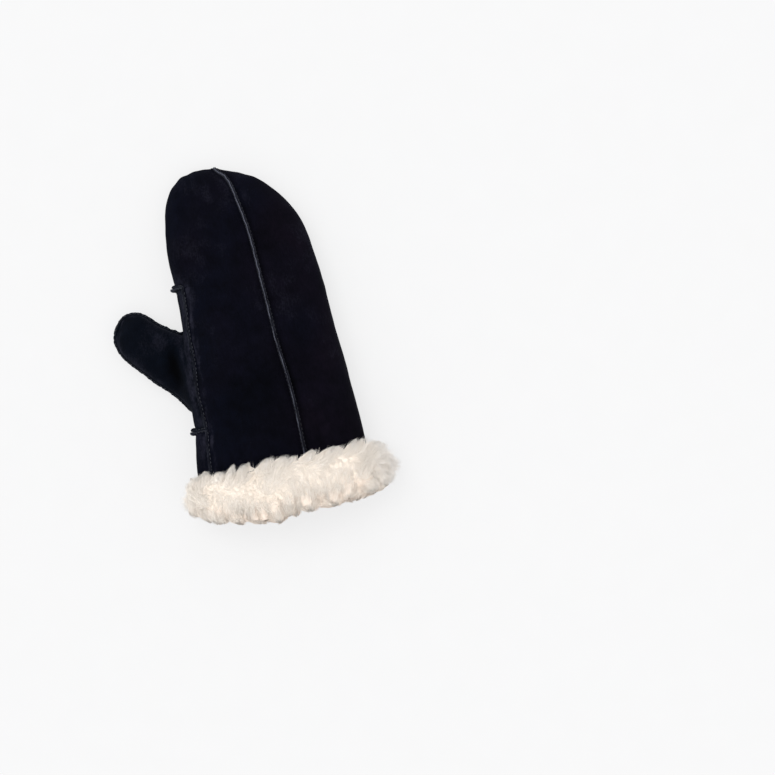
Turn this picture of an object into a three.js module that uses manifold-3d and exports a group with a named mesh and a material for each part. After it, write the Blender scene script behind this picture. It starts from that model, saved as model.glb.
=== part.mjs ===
/**
 * A sheepskin mitten for the right hand, lying palm down with its thumb spread.
 * Black suede outside, with outward seams, and cream fleece turned back over the mouth.
 * Millimetres, +Z up. X runs across the hand, with the thumb on the -X side.
 * Y runs from the mouth edge of the leather to the fingertip.
 */
import * as THREE from 'three';
import { mergeVertices } from 'three/addons/utils/BufferGeometryUtils.js';
import Module from 'manifold-3d';

// Driving sizes of the hand, and how square its sections are above and below the edge
const SHELL_LENGTH = 282;
const HAND_WIDTH = 116;
const HAND_HEIGHT = 42;
const EDGE_HEIGHT_SHARE = 0.42;
const TOP_ROUND = 2.5;
const UNDER_ROUND = 3.2;
const MOUTH_SLANT = 3;
const MOUTH_SLANT_REACH = 90;

// Driving sizes of the thumb
const THUMB_LENGTH = 100;
const THUMB_WIDTH = 35;
const THUMB_HEIGHT = 26;
const THUMB_SEAM_HEIGHT = 12;
const THUMB_TOP_ROUND = 2.3;
const THUMB_UNDER_ROUND = 2.6;
const THUMB_ANGLE = THREE.MathUtils.degToRad(45.7);
const THUMB_ROOT = { along: 0.3695, across: -0.298 };

// Leather and its outward seams
const LEATHER = 2;
const SEAM_HEIGHT = 3;
const THUMB_SEAM_REACH = 2;
const SEAM_LIP = 1.1;
const SEAM_ROOT = 1.2;
const SEAM_FLOOR_CLEARANCE = 0.6;
const TAB_LENGTH = 3.5;
const FIT_GAP = 0.3;

// Fleece: the band turned back over the mouth, and the lining that shows in the mouth
const FLEECE_BAND = 40;
const FLEECE_ROLL = 3;
const FLEECE_SIDE = 12;
const FLEECE_TOP = 10;
const FLEECE_UNDER = 9;
const FLEECE_CORNER = 8;
const LINING = 5;
const LINING_HOOK = 10;
const LINING_DEPTH = 72;
const LOCK_LENGTH = 9;
const LOCK_WIDTH = 17;
const LOCKS_ROUND = 22;

// How finely the curved pieces are divided
const AROUND = 28;
const THUMB_AROUND = 16;
const SEAM_STEP = 13;

const cuffLift = FLEECE_UNDER + FIT_GAP;
const seamHalf = SEAM_LIP + FIT_GAP / 2;
const palmLift = SEAM_HEIGHT + SEAM_FLOOR_CLEARANCE + FIT_GAP;
const clearOfPart = 4 * HAND_WIDTH;

/**
 * Sections of the hand. along is a share of SHELL_LENGTH, left and right of HAND_WIDTH,
 * top and under of HAND_HEIGHT, and lift of the height that the fleece holds the cuff at.
 */
const HAND_SECTIONS = [
  { along: 0.000, left: -0.612, right: 0.582, top: 0.929, under: 0.000, lift: 1.00 },
  { along: 0.113, left: -0.602, right: 0.578, top: 0.940, under: 0.000, lift: 0.88 },
  { along: 0.195, left: -0.583, right: 0.573, top: 0.966, under: 0.000, lift: 0.53 },
  { along: 0.284, left: -0.550, right: 0.563, top: 1.002, under: 0.000, lift: 0.13 },
  { along: 0.369, left: -0.540, right: 0.552, top: 1.005, under: -0.020, lift: 0.00 },
  { along: 0.457, left: -0.530, right: 0.539, top: 0.990, under: -0.030, lift: 0.00 },
  { along: 0.550, left: -0.488, right: 0.531, top: 0.952, under: -0.030, lift: 0.00 },
  { along: 0.684, left: -0.478, right: 0.512, top: 0.881, under: -0.030, lift: 0.00 },
  { along: 0.770, left: -0.479, right: 0.485, top: 0.817, under: -0.030, lift: 0.00 },
  { along: 0.826, left: -0.469, right: 0.440, top: 0.757, under: -0.025, lift: 0.00 },
  { along: 0.883, left: -0.446, right: 0.364, top: 0.671, under: -0.020, lift: 0.00 },
  { along: 0.926, left: -0.416, right: 0.272, top: 0.586, under: -0.010, lift: 0.00 },
  { along: 0.957, left: -0.371, right: 0.172, top: 0.500, under: 0.005, lift: 0.00 },
  { along: 0.979, left: -0.319, right: 0.082, top: 0.405, under: 0.030, lift: 0.00 },
  { along: 0.993, left: -0.254, right: -0.004, top: 0.310, under: 0.067, lift: 0.00 },
  { along: 1.000, left: -0.172, right: -0.103, top: 0.238, under: 0.120, lift: 0.00 },
];

/**
 * Sections of the thumb, from its root inside the hand to its tip. along is a share of
 * THUMB_LENGTH, fore and aft of THUMB_WIDTH toward and away from the fingertip, and top and
 * under of THUMB_HEIGHT.
 */
const THUMB_SECTIONS = [
  { along: 0.000, fore: 0.62, aft: 0.80, top: 1.31, under: 0.19 },
  { along: 0.127, fore: 0.61, aft: 0.78, top: 1.27, under: 0.19 },
  { along: 0.254, fore: 0.60, aft: 0.69, top: 1.15, under: 0.17 },
  { along: 0.341, fore: 0.58, aft: 0.66, top: 0.98, under: 0.14 },
  { along: 0.420, fore: 0.56, aft: 0.65, top: 0.89, under: 0.10 },
  { along: 0.500, fore: 0.55, aft: 0.65, top: 0.87, under: 0.05 },
  { along: 0.595, fore: 0.49, aft: 0.63, top: 0.94, under: 0.00 },
  { along: 0.730, fore: 0.44, aft: 0.60, top: 1.00, under: -0.03 },
  { along: 0.829, fore: 0.44, aft: 0.55, top: 0.96, under: -0.03 },
  { along: 0.907, fore: 0.41, aft: 0.46, top: 0.85, under: 0.02 },
  { along: 0.966, fore: 0.31, aft: 0.32, top: 0.68, under: 0.16 },
  { along: 1.000, fore: 0.15, aft: 0.15, top: 0.52, under: 0.40 },
];

/** Seams on the back and on the palm, in shares of SHELL_LENGTH and HAND_WIDTH. */
const CENTRE_SEAM = [
  { along: 0.000, across: 0.170 },
  { along: 0.173, across: 0.166 },
  { along: 0.274, across: 0.168 },
  { along: 0.370, across: 0.158 },
  { along: 0.466, across: 0.139 },
  { along: 0.568, across: 0.132 },
  { along: 0.736, across: 0.117 },
  { along: 0.802, across: 0.109 },
  { along: 0.881, across: 0.080 },
  { along: 0.946, across: 0.045 },
  { along: 0.992, across: -0.018 },
];
const SIDE_SEAM = [
  { along: 0.000, across: -0.504 },
  { along: 0.163, across: -0.496 },
  { along: 0.222, across: -0.482 },
  { along: 0.276, across: -0.467 },
  { along: 0.384, across: -0.474 },
  { along: 0.464, across: -0.453 },
  { along: 0.549, across: -0.450 },
  { along: 0.600, across: -0.437 },
  { along: 0.680, across: -0.423 },
];
const LOWER_TAB = { along: 0.273, across: -0.556 };
const UPPER_TAB = { along: 0.683, across: -0.478 };
const PALM_V_OUTER = [
  { along: 0.709, across: -0.276 },
  { along: 0.684, across: -0.220 },
  { along: 0.621, across: -0.224 },
  { along: 0.521, across: -0.250 },
];
const PALM_V_INNER = [
  { along: 0.521, across: -0.250 },
  { along: 0.537, across: -0.371 },
  { along: 0.549, across: -0.491 },
];
const PALM_HEEL = [
  { along: 0.287, across: -0.397 },
  { along: 0.318, across: -0.440 },
  { along: 0.332, across: -0.510 },
  { along: 0.325, across: -0.562 },
];
const CROTCH_NOTCH = { along: 0.655, across: -0.585 };
const HEEL_NOTCH = { along: 0.318, across: -0.740 };

const wasm = await Module();
wasm.setup();

/** A small repeatable random number from 0 to 1. */
function scatter(...seeds) {
  const sum = seeds.reduce((total, seed, i) => total + seed * (12.9898 + 65.233 * i), 4.7);
  const wave = Math.sin(sum) * 43758.5453;
  return wave - Math.floor(wave);
}

/** 0 below low, 1 above high, and a smooth ramp between. */
function ramp(value, low, high) {
  return THREE.MathUtils.smoothstep(value, low, high);
}

/** The value of one column of a table at a share along it, by a smooth curve through its rows. */
function columnAt(rows, key, along) {
  let i = 0;
  while (i < rows.length - 2 && along > rows[i + 1].along) i += 1;
  const slope = (a, b) => (rows[b][key] - rows[a][key]) / (rows[b].along - rows[a].along);
  const span = rows[i + 1].along - rows[i].along;
  const t = (along - rows[i].along) / span;
  const from = slope(Math.max(i - 1, 0), i + 1) * span;
  const to = slope(i, Math.min(i + 2, rows.length - 1)) * span;
  const bend = 2 * rows[i][key] - 2 * rows[i + 1][key] + from + to;
  const swing = -3 * rows[i][key] + 3 * rows[i + 1][key] - 2 * from - to;
  return rows[i][key] + from * t + swing * t * t + bend * t * t * t;
}

/** The hand's section at y, drawn in by inset on every side. */
function handSection(y, inset) {
  const along = THREE.MathUtils.clamp(y / SHELL_LENGTH, 0, 1);
  const at = (key) => columnAt(HAND_SECTIONS, key, along);
  const left = at('left') * HAND_WIDTH + inset;
  const right = at('right') * HAND_WIDTH - inset;
  const raise = at('lift') * cuffLift;
  const fullTop = at('top') * HAND_HEIGHT + raise;
  const fullUnder = at('under') * HAND_HEIGHT + raise;
  return {
    y,
    middle: (left + right) / 2,
    half: Math.max((right - left) / 2, 0.3 * LEATHER),
    edge: THREE.MathUtils.lerp(fullUnder, fullTop, EDGE_HEIGHT_SHARE),
    top: fullTop - inset,
    under: fullUnder + inset,
    inset,
    slant: MOUTH_SLANT * (1 - ramp(y, 0, MOUTH_SLANT_REACH)),
  };
}

/** How high the palm is held off the floor, so that its seams clear it. */
function palmFloor(x, y) {
  const sideways = ramp(-x / HAND_WIDTH, 0.12, 0.2);
  const along = y / SHELL_LENGTH;
  return palmLift * sideways * ramp(along, 0.24, 0.3) * (1 - ramp(along, 0.72, 0.8));
}

/** Unit shares of half width and half height on a rounded section at an angle from +X. */
function roundShare(angle, topRound, underRound) {
  const power = 2 / (Math.sin(angle) >= 0 ? topRound : underRound);
  const across = Math.sign(Math.cos(angle)) * Math.abs(Math.cos(angle)) ** power;
  const up = Math.sign(Math.sin(angle)) * Math.abs(Math.sin(angle)) ** power;
  return { across, up };
}

/** A point on the hand's section: angle 0 is the outer edge, a half turn the thumb edge. */
function handPoint(section, angle) {
  const { across, up } = roundShare(angle, TOP_ROUND, UNDER_ROUND);
  const x = section.middle + section.half * across;
  const reach = Math.max(up >= 0 ? section.top - section.edge : section.edge - section.under, 0.5);
  const free = section.edge + reach * up;
  const floor = Math.max(section.inset + palmFloor(x, section.y), 0);
  return new THREE.Vector3(x, section.y + section.slant * up, Math.max(free, floor));
}

/** Height of the hand's outer surface over a point of the plan, above or below its edge. */
function handHeight(x, y, above) {
  const section = handSection(y, 0);
  const share = Math.min(Math.abs(x - section.middle) / section.half, 0.999);
  const round = above ? TOP_ROUND : UNDER_ROUND;
  const up = (1 - share ** round) ** (1 / round);
  if (above) return section.edge + (section.top - section.edge) * up;
  const free = section.edge - (section.edge - section.under) * up;
  return Math.max(free, palmFloor(x, y));
}

const thumbDirection = new THREE.Vector2(-Math.sin(THUMB_ANGLE), Math.cos(THUMB_ANGLE));
const thumbFore = new THREE.Vector2(Math.cos(THUMB_ANGLE), Math.sin(THUMB_ANGLE));
const thumbRoot = planPoint(THUMB_ROOT);

/** A point in plan from its shares along and across the hand. */
function planPoint({ along, across }) {
  return new THREE.Vector2(across * HAND_WIDTH, along * SHELL_LENGTH);
}

/** A point of the thumb's outline in plan: side 1 faces the fingertip, -1 the mouth. */
function thumbOutline(along, side, inset) {
  const half = columnAt(THUMB_SECTIONS, side > 0 ? 'fore' : 'aft', along) * THUMB_WIDTH - inset;
  return thumbRoot.clone()
    .addScaledVector(thumbDirection, along * (THUMB_LENGTH - inset))
    .addScaledVector(thumbFore, side * Math.max(half, 0.4));
}

/** A point on the thumb's section at a share along it. */
function thumbPoint(along, angle, inset) {
  const { across, up } = roundShare(angle, THUMB_TOP_ROUND, THUMB_UNDER_ROUND);
  const fore = thumbOutline(along, 1, inset);
  const aft = thumbOutline(along, -1, inset);
  const plan = aft.lerp(fore, (across + 1) / 2);
  const top = columnAt(THUMB_SECTIONS, 'top', along) * THUMB_HEIGHT - inset;
  const under = columnAt(THUMB_SECTIONS, 'under', along) * THUMB_HEIGHT + inset;
  const reach = up >= 0 ? top - THUMB_SEAM_HEIGHT : THUMB_SEAM_HEIGHT - under;
  const z = THUMB_SEAM_HEIGHT + Math.max(reach, 0.4) * up;
  return new THREE.Vector3(plan.x, plan.y, Math.max(z, inset, 0));
}

/** Angles round a section, in equal steps. */
function anglesRound(count) {
  return Array.from({ length: count }, (_, i) => (i / count) * 2 * Math.PI);
}

/** A closed mesh through rings of points, with a fan over each end, or joined end to end. */
function lofted(rings, closedLoop = false) {
  const count = rings[0].length;
  const points = rings.flat();
  const faces = [];
  const laps = closedLoop ? rings.length : rings.length - 1;
  for (let r = 0; r < laps; r += 1) {
    const next = (r + 1) % rings.length;
    for (let i = 0; i < count; i += 1) {
      const j = (i + 1) % count;
      const a = r * count + i;
      const b = r * count + j;
      const c = next * count + j;
      const d = next * count + i;
      faces.push([a, b, c], [a, c, d]);
    }
  }
  if (!closedLoop) {
    const first = points.length;
    points.push(centreOf(rings[0]), centreOf(rings.at(-1)));
    const last = (rings.length - 1) * count;
    for (let i = 0; i < count; i += 1) {
      const j = (i + 1) % count;
      faces.push([first, j, i], [first + 1, last + i, last + j]);
    }
  }
  const outward = faces.reduce((sum, [a, b, c]) => sum + sixVolumes(points, a, b, c), 0) > 0;
  const geometry = new THREE.BufferGeometry().setFromPoints(points);
  geometry.setIndex(faces.flatMap(([a, b, c]) => (outward ? [a, b, c] : [a, c, b])));
  return geometry;
}

/** Six times the signed volume between a triangle and the first point. */
function sixVolumes(points, a, b, c) {
  const side = points[b].clone().sub(points[0]).cross(points[c].clone().sub(points[0]));
  return points[a].clone().sub(points[0]).dot(side);
}

/** The mean of a ring of points. */
function centreOf(ring) {
  const sum = new THREE.Vector3();
  for (const point of ring) sum.add(point);
  return sum.divideScalar(ring.length);
}

/** A solid for joins and cuts, from a closed geometry. */
function solidOf(geometry) {
  const bare = geometry.clone();
  bare.deleteAttribute('normal');
  bare.deleteAttribute('uv');
  const merged = mergeVertices(bare, 1e-4);
  return new wasm.Manifold(new wasm.Mesh({
    numProp: 3,
    vertProperties: new Float32Array(merged.attributes.position.array),
    triVerts: new Uint32Array(merged.index.array),
  }));
}

/** Several solids joined into one. */
function joined(solids) {
  return solids.reduce((whole, solid) => whole.add(solid));
}

/** The largest body of a solid: cuts along curved seams leave dust beside it. */
function mainBody(solid) {
  const bodies = solid.decompose();
  return bodies.reduce((best, body) => (body.volume() > best.volume() ? body : best));
}

/** A plan outline, raised from low to high. */
function prism(outline, low, high) {
  const geometry = new THREE.ExtrudeGeometry(new THREE.Shape(outline), {
    depth: high - low,
    bevelEnabled: false,
  });
  geometry.translate(0, 0, low);
  return solidOf(geometry);
}

/** An outline of (y, z) points, drawn out along X from low to high. */
function sideProfile(outline, low, high) {
  const geometry = new THREE.ExtrudeGeometry(new THREE.Shape(outline), {
    depth: high - low,
    bevelEnabled: false,
  });
  const turn = new THREE.Matrix4().makeBasis(
    new THREE.Vector3(0, 1, 0),
    new THREE.Vector3(0, 0, 1),
    new THREE.Vector3(1, 0, 0),
  );
  geometry.applyMatrix4(turn);
  geometry.translate(low, 0, 0);
  return solidOf(geometry);
}

/** Unit sideways directions at the points of a path in plan, to its right. */
function sidesOf(path) {
  return path.map((_, i) => {
    const before = path[Math.max(i - 1, 0)];
    const after = path[Math.min(i + 1, path.length - 1)];
    const tangent = after.clone().sub(before).normalize();
    return new THREE.Vector2(tangent.y, -tangent.x);
  });
}

/** A standing strip of even thickness along a path in plan. */
function strip(path, thickness, low, high) {
  const sides = sidesOf(path);
  const right = path.map((p, i) => p.clone().addScaledVector(sides[i], thickness / 2));
  const left = path.map((p, i) => p.clone().addScaledVector(sides[i], -thickness / 2));
  return prism([...right, ...left.reverse()], low, high);
}

/** A smooth path in plan through the rows of a table. */
function seamPath(rows, from = 0) {
  const curve = new THREE.SplineCurve(rows.map(planPoint));
  const steps = Math.max(2, Math.round(curve.getLength() / SEAM_STEP));
  return curve.getSpacedPoints(steps).filter((p) => p.y >= from);
}

/** A path carried on straight past both of its ends. */
function extended(path, before, after) {
  const start = path[0].clone().sub(path[1]).setLength(before).add(path[0]);
  const end = path.at(-1).clone().sub(path.at(-2)).setLength(after).add(path.at(-1));
  return [start, ...path, end];
}

/** Raised edges of a seam that stands up from the back, or down from the palm. */
function standingSeam(path, above, extra = 0) {
  const sides = sidesOf(path);
  const reach = SEAM_HEIGHT + extra;
  const rings = path.map((p, i) => {
    const way = above ? 1 : -1;
    const crest = handHeight(p.x, p.y, above) + way * reach;
    const crestHeight = above ? crest : Math.max(crest, SEAM_FLOOR_CLEARANCE);
    const [right, left] = [1, -1].map((side) => {
      const q = p.clone().addScaledVector(sides[i], side * (seamHalf + extra));
      return { q, foot: handHeight(q.x, q.y, above) - way * SEAM_ROOT };
    });
    return [
      new THREE.Vector3(right.q.x, right.q.y, right.foot),
      new THREE.Vector3(right.q.x, right.q.y, crestHeight),
      new THREE.Vector3(left.q.x, left.q.y, crestHeight),
      new THREE.Vector3(left.q.x, left.q.y, left.foot),
    ];
  });
  return solidOf(lofted(rings));
}

/** Raised edges of the seam round the thumb, which lie level at its widest line. */
function thumbEdgeSeam() {
  const shares = [0.13, 0.2, 0.28, 0.37, 0.46, 0.55, 0.64, 0.73, 0.81, 0.88, 0.93, 0.966, 0.99];
  const aft = shares.map((share) => thumbOutline(share, -1, 0));
  const fore = shares.filter((share) => share > 0.47).map((share) => thumbOutline(share, 1, 0));
  const path = [...aft, thumbOutline(1, 0, 0), ...fore.reverse()];
  const sides = sidesOf(path);
  const rings = path.map((p, i) => {
    const inner = p.clone().addScaledVector(sides[i], SEAM_ROOT);
    const outer = p.clone().addScaledVector(sides[i], -THUMB_SEAM_REACH);
    return [
      new THREE.Vector3(inner.x, inner.y, THUMB_SEAM_HEIGHT - seamHalf),
      new THREE.Vector3(outer.x, outer.y, THUMB_SEAM_HEIGHT - seamHalf),
      new THREE.Vector3(outer.x, outer.y, THUMB_SEAM_HEIGHT + seamHalf),
      new THREE.Vector3(inner.x, inner.y, THUMB_SEAM_HEIGHT + seamHalf),
    ];
  });
  return solidOf(lofted(rings));
}

/** Where the seam that runs straight in from a tab turns toward the seam that it meets. */
function turnAt(tab) {
  return new THREE.Vector2(tab.x + 2 * LEATHER, tab.y);
}

/** Raised edges that run round the thumb edge of the hand, longest where the tab pokes out. */
function tabSeam(backEnd, tab, palmEnd) {
  const section = handSection(tab.y, 0);
  const steps = 14;
  const share = (x) => THREE.MathUtils.clamp((section.middle - x) / section.half, 0, 1);
  const first = Math.PI - Math.acos(share(backEnd.x) ** (TOP_ROUND / 2));
  const last = Math.PI + Math.acos(share(palmEnd.x) ** (UNDER_ROUND / 2));
  const rings = Array.from({ length: steps + 1 }, (_, i) => {
    const angle = THREE.MathUtils.lerp(first, last, i / steps);
    const onSection = handPoint(section, angle);
    const end = angle < Math.PI ? backEnd : palmEnd;
    const turn = turnAt(tab);
    const slide = THREE.MathUtils.clamp((onSection.x - turn.x) / (end.x - turn.x), 0, 1);
    const y = THREE.MathUtils.lerp(tab.y, end.y, slide);
    const foot = handPoint(handSection(y, 0), angle);
    const ahead = handPoint(handSection(y, 0), angle + 0.01);
    const outward = new THREE.Vector3(ahead.z - foot.z, 0, foot.x - ahead.x).normalize();
    const bulge = TAB_LENGTH * Math.exp(-(((angle - Math.PI) / 0.35) ** 2));
    const root = foot.clone().addScaledVector(outward, -SEAM_ROOT);
    const crest = foot.clone().addScaledVector(outward, SEAM_HEIGHT + bulge);
    crest.z = Math.max(crest.z, SEAM_FLOOR_CLEARANCE);
    return [
      new THREE.Vector3(root.x, y - seamHalf, root.z),
      new THREE.Vector3(crest.x, y - seamHalf, crest.z),
      new THREE.Vector3(crest.x, y + seamHalf, crest.z),
      new THREE.Vector3(root.x, y + seamHalf, root.z),
    ];
  });
  return solidOf(lofted(rings));
}

/** Places along the hand where it has a ring of points, closer together at the fingertip. */
const handRows = [
  0, LINING_HOOK, LINING_HOOK + FIT_GAP, FLEECE_BAND, LINING_DEPTH,
  ...[0.195, 0.31, 0.38, 0.46, 0.55, 0.64, 0.73, 0.8, 0.86, 0.905, 0.94, 0.965, 0.984, 0.995, 1]
    .map((share) => share * SHELL_LENGTH),
].sort((a, b) => a - b);

/** The hand as a solid, drawn in by inset, with its mouth end carried forward. */
function handSolid(inset, forward) {
  const angles = anglesRound(AROUND);
  const shorter = (SHELL_LENGTH - inset) / SHELL_LENGTH;
  const rings = handRows.map((y) => angles.map((angle) => {
    const point = handPoint(handSection(y, inset), angle);
    point.y = y > LINING_DEPTH ? point.y * shorter : point.y;
    return point;
  }));
  const mouth = rings[0].map((p) => p.clone().setY(p.y - forward));
  return solidOf(lofted(forward > 0 ? [mouth, ...rings] : rings));
}

/** The thumb as a solid, drawn in by inset. */
function thumbSolid(inset) {
  const shares = [0, 0.18, 0.32, 0.42, 0.5, 0.59, 0.7, 0.8, 0.88, 0.94, 0.98];
  const angles = anglesRound(THUMB_AROUND);
  return solidOf(lofted([...shares, 1].map((share) => (
    angles.map((angle) => thumbPoint(share, angle, inset))
  ))));
}

/** The height of the joint along the edge of the hand, as (y, z) points from one row to another. */
function edgeLine(from, to) {
  const ys = [from, ...handRows.filter((y) => y > from && y < to), to];
  return ys.map((y) => new THREE.Vector2(y, handSection(y, 0).edge));
}

/** The band between the joint's height, shifted, and a level line. */
function bandFrom(line, shift, level) {
  return [
    ...line.map((p) => new THREE.Vector2(p.x, p.y + shift)),
    new THREE.Vector2(line.at(-1).x, level),
    new THREE.Vector2(line[0].x, level),
  ];
}

const centreSeam = seamPath(CENTRE_SEAM);
const sideSeam = seamPath(SIDE_SEAM);
const lowerTab = planPoint(LOWER_TAB);
const upperTab = planPoint(UPPER_TAB);
const vOuter = seamPath(PALM_V_OUTER);
const vInner = seamPath(PALM_V_INNER);
const palmHeel = seamPath(PALM_HEEL);
const sideSeamTop = sideSeam.at(-1);
const sideSeamAtHeel = sideSeam.reduce((best, p) => (
  Math.abs(p.y - lowerTab.y) < Math.abs(best.y - lowerTab.y) ? p : best
));

/** The leather before it is cut into panels: one hollow shell with every raised seam on it. */
function wholeShell() {
  const seams = [
    standingSeam(centreSeam.filter((p) => p.y > FLEECE_BAND), true),
    standingSeam(sideSeam.filter((p) => p.y > FLEECE_BAND), true),
    thumbEdgeSeam(),
    tabSeam(sideSeamAtHeel, lowerTab, palmHeel[0]),
    tabSeam(sideSeamTop, upperTab, vOuter[0]),
    standingSeam(vOuter, false),
    standingSeam(vInner, false),
    standingSeam(palmHeel.slice(0, -1), false),
  ];
  const outside = joined([handSolid(0, 0), thumbSolid(0), ...seams]);
  const hollow = handSolid(LEATHER, 2 * FLEECE_ROLL).add(thumbSolid(LEATHER));
  return outside.subtract(hollow);
}

/** The three leather panels, parted along the seams with a fine gap. */
function leatherPanels() {
  const high = 4 * HAND_HEIGHT;
  const far = -clearOfPart;
  const farPoint = (y) => new THREE.Vector2(far, y);
  const tipEnd = SHELL_LENGTH + HAND_HEIGHT;
  const mouthEnd = -HAND_HEIGHT;
  const centreCut = extended(centreSeam, HAND_HEIGHT, HAND_HEIGHT);
  const sideCut = [sideSeam[0].clone().setY(mouthEnd), ...sideSeam];
  const gussetSide = sideSeam.filter((p) => p.y > sideSeamAtHeel.y);
  const backLine = edgeLine(mouthEnd, tipEnd);
  const aboveEdge = sideProfile(bandFrom(backLine, 0, high), far, clearOfPart);
  const belowEdge = sideProfile(bandFrom(backLine, 0, -high), far, clearOfPart);

  const backPlan = [...centreCut, farPoint(tipEnd), farPoint(upperTab.y), turnAt(upperTab),
    ...sideCut.toReversed()];
  const back = prism(backPlan, -high, high).intersect(aboveEdge);

  const gussetPlan = [sideSeamAtHeel, ...gussetSide, turnAt(upperTab), farPoint(upperTab.y),
    farPoint(lowerTab.y), turnAt(lowerTab)];
  const notchTop = planPoint(CROTCH_NOTCH);
  const notchLow = planPoint(HEEL_NOTCH);
  const vPlan = [...vOuter, ...vInner.slice(1), notchTop, farPoint(notchTop.y),
    farPoint(upperTab.y), turnAt(upperTab)];
  const heelPlan = [...palmHeel, notchLow, farPoint(notchLow.y), farPoint(lowerTab.y),
    turnAt(lowerTab)];
  const gusset = joined([
    prism(gussetPlan, THUMB_SEAM_HEIGHT, high),
    prism(vPlan, -high, THUMB_SEAM_HEIGHT),
    prism(heelPlan, -high, THUMB_SEAM_HEIGHT),
  ]);

  const thumbPlan = [...vInner, notchTop, farPoint(notchTop.y), farPoint(notchLow.y), notchLow,
    ...palmHeel.toReversed()];
  const half = FIT_GAP / 2;
  const edgeJoint = edgeLine(upperTab.y, tipEnd);
  const edgeBand = [
    ...edgeJoint.map((p) => new THREE.Vector2(p.x, p.y + half)),
    ...edgeJoint.toReversed().map((p) => new THREE.Vector2(p.x, p.y - half)),
  ];
  const outPast = (tab) => [turnAt(tab), farPoint(tab.y)];
  const cuts = [
    strip(centreCut, FIT_GAP, -high, high).intersect(aboveEdge),
    strip([...sideCut, ...outPast(upperTab)], FIT_GAP, -high, high).intersect(aboveEdge),
    strip([sideSeamAtHeel, ...outPast(lowerTab)], FIT_GAP, -high, high).intersect(aboveEdge),
    strip([vOuter[1], vOuter[0], ...outPast(upperTab)], FIT_GAP, -high, high)
      .intersect(belowEdge),
    strip([palmHeel[1], palmHeel[0], ...outPast(lowerTab)], FIT_GAP, -high, high)
      .intersect(belowEdge),
    ...[upperTab, lowerTab].map((tab) => strip(outPast(tab), FIT_GAP, -high, high)),
    strip([...vOuter, ...vInner.slice(1), notchTop], FIT_GAP, -high, THUMB_SEAM_HEIGHT + half),
    strip([...palmHeel, notchLow], FIT_GAP, -high, THUMB_SEAM_HEIGHT + half),
    prism(thumbPlan, THUMB_SEAM_HEIGHT - half, THUMB_SEAM_HEIGHT + half),
    sideProfile(edgeBand, far, centreSeam.at(-1).x),
  ];
  const shell = wholeShell().subtract(joined(cuts));
  return {
    palm: mainBody(shell.subtract(back).subtract(gusset)),
    back: mainBody(shell.intersect(back)),
    thumb: mainBody(shell.intersect(gusset).subtract(back)),
  };
}

/** How far the fleece stands off the leather round the cuff: pressed flat where it rests. */
function fleeceDepth(angle, side, top, under) {
  const up = Math.sin(angle);
  const level = Math.abs(Math.cos(angle)) ** 3;
  return THREE.MathUtils.lerp(up >= 0 ? top : under, side, level);
}

/**
 * Outline of the fleece in a cut through the mouth edge. y is a share of FLEECE_BAND behind
 * the mouth or, with roll, of FLEECE_ROLL before it, and out a share of the fleece's depth
 * or, where negative, of the lining's.
 */
const FLEECE_OUTLINE = [
  { band: 1.00, roll: 0, out: -0.1 },
  { band: 1.10, roll: 0, out: 0.38 },
  { band: 0.98, roll: 0, out: 0.74 },
  { band: 0.72, roll: 0, out: 0.98 },
  { band: 0.40, roll: 0, out: 1.00 },
  { band: 0.10, roll: 0, out: 0.78 },
  { band: 0.00, roll: 0.75, out: 0.38 },
  { band: 0.00, roll: 1.00, out: -0.15 },
  { band: 0.00, roll: 0.70, out: -0.85 },
  { band: 0.05, roll: 0, out: -1.10 },
];

/**
 * A point of the fleece at an angle round the cuff, out from the leather's outer face.
 * Outside the leather its front edge falls back toward both sides of the cuff.
 */
function fleecePoint(angle, y, out) {
  const aside = Math.abs(Math.cos(angle)) ** 5;
  const front = 1 - ramp(y, 0, FLEECE_BAND);
  const back = out > 0 ? FLEECE_CORNER * aside * front : 0;
  const point = handPoint(handSection(Math.max(y, 0), -out), angle);
  return point.setY(point.y + Math.min(y, 0) + back);
}

/** The fleece band without its locks: a padded ring that hooks over the mouth edge. */
function fleeceRing() {
  const inner = LEATHER + FIT_GAP + LINING;
  const rings = anglesRound(AROUND).map((angle) => {
    const depth = fleeceDepth(angle, FLEECE_SIDE, FLEECE_TOP, FLEECE_UNDER);
    const outline = FLEECE_OUTLINE.map(({ band, roll, out }) => fleecePoint(
      angle,
      band * FLEECE_BAND - roll * FLEECE_ROLL,
      out > 0 ? out * depth : out * inner,
    ));
    const hook = [
      fleecePoint(angle, LINING_HOOK, -inner),
      fleecePoint(angle, LINING_HOOK, -LEATHER / 2),
    ];
    return [...outline, ...hook];
  });
  return solidOf(lofted(rings, true));
}

/** One pointed lock of fleece, bent toward its lean. */
function lock(root, direction, lean, length, width) {
  const sides = 4;
  const across = new THREE.Vector3(0, 1, 0).cross(direction).normalize();
  const along = direction.clone().cross(across);
  const ring = (share, size) => Array.from({ length: sides }, (_, i) => {
    const angle = (i / sides) * 2 * Math.PI;
    return root.clone()
      .addScaledVector(direction, share * length)
      .addScaledVector(lean, share * share * length)
      .addScaledVector(across, Math.cos(angle) * size * width)
      .addScaledVector(along, Math.sin(angle) * size * width);
  });
  return solidOf(lofted([ring(-0.4, 0.5), ring(0.35, 0.38), ring(1, 0.05)]));
}

/** The angle at which a share of the way round the fleece's outer face is reached. */
function angleRoundFleece(share) {
  const angles = anglesRound(4 * AROUND);
  const points = angles.map((angle) => fleecePoint(angle, FLEECE_BAND / 2, FLEECE_TOP));
  const steps = points.map((p, i) => p.distanceTo(points[(i + 1) % points.length]));
  let left = (share - Math.floor(share)) * steps.reduce((sum, step) => sum + step);
  let i = 0;
  while (left > steps[i]) {
    left -= steps[i];
    i += 1;
  }
  return angles[i] + (left / steps[i]) * angles[1];
}

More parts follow.
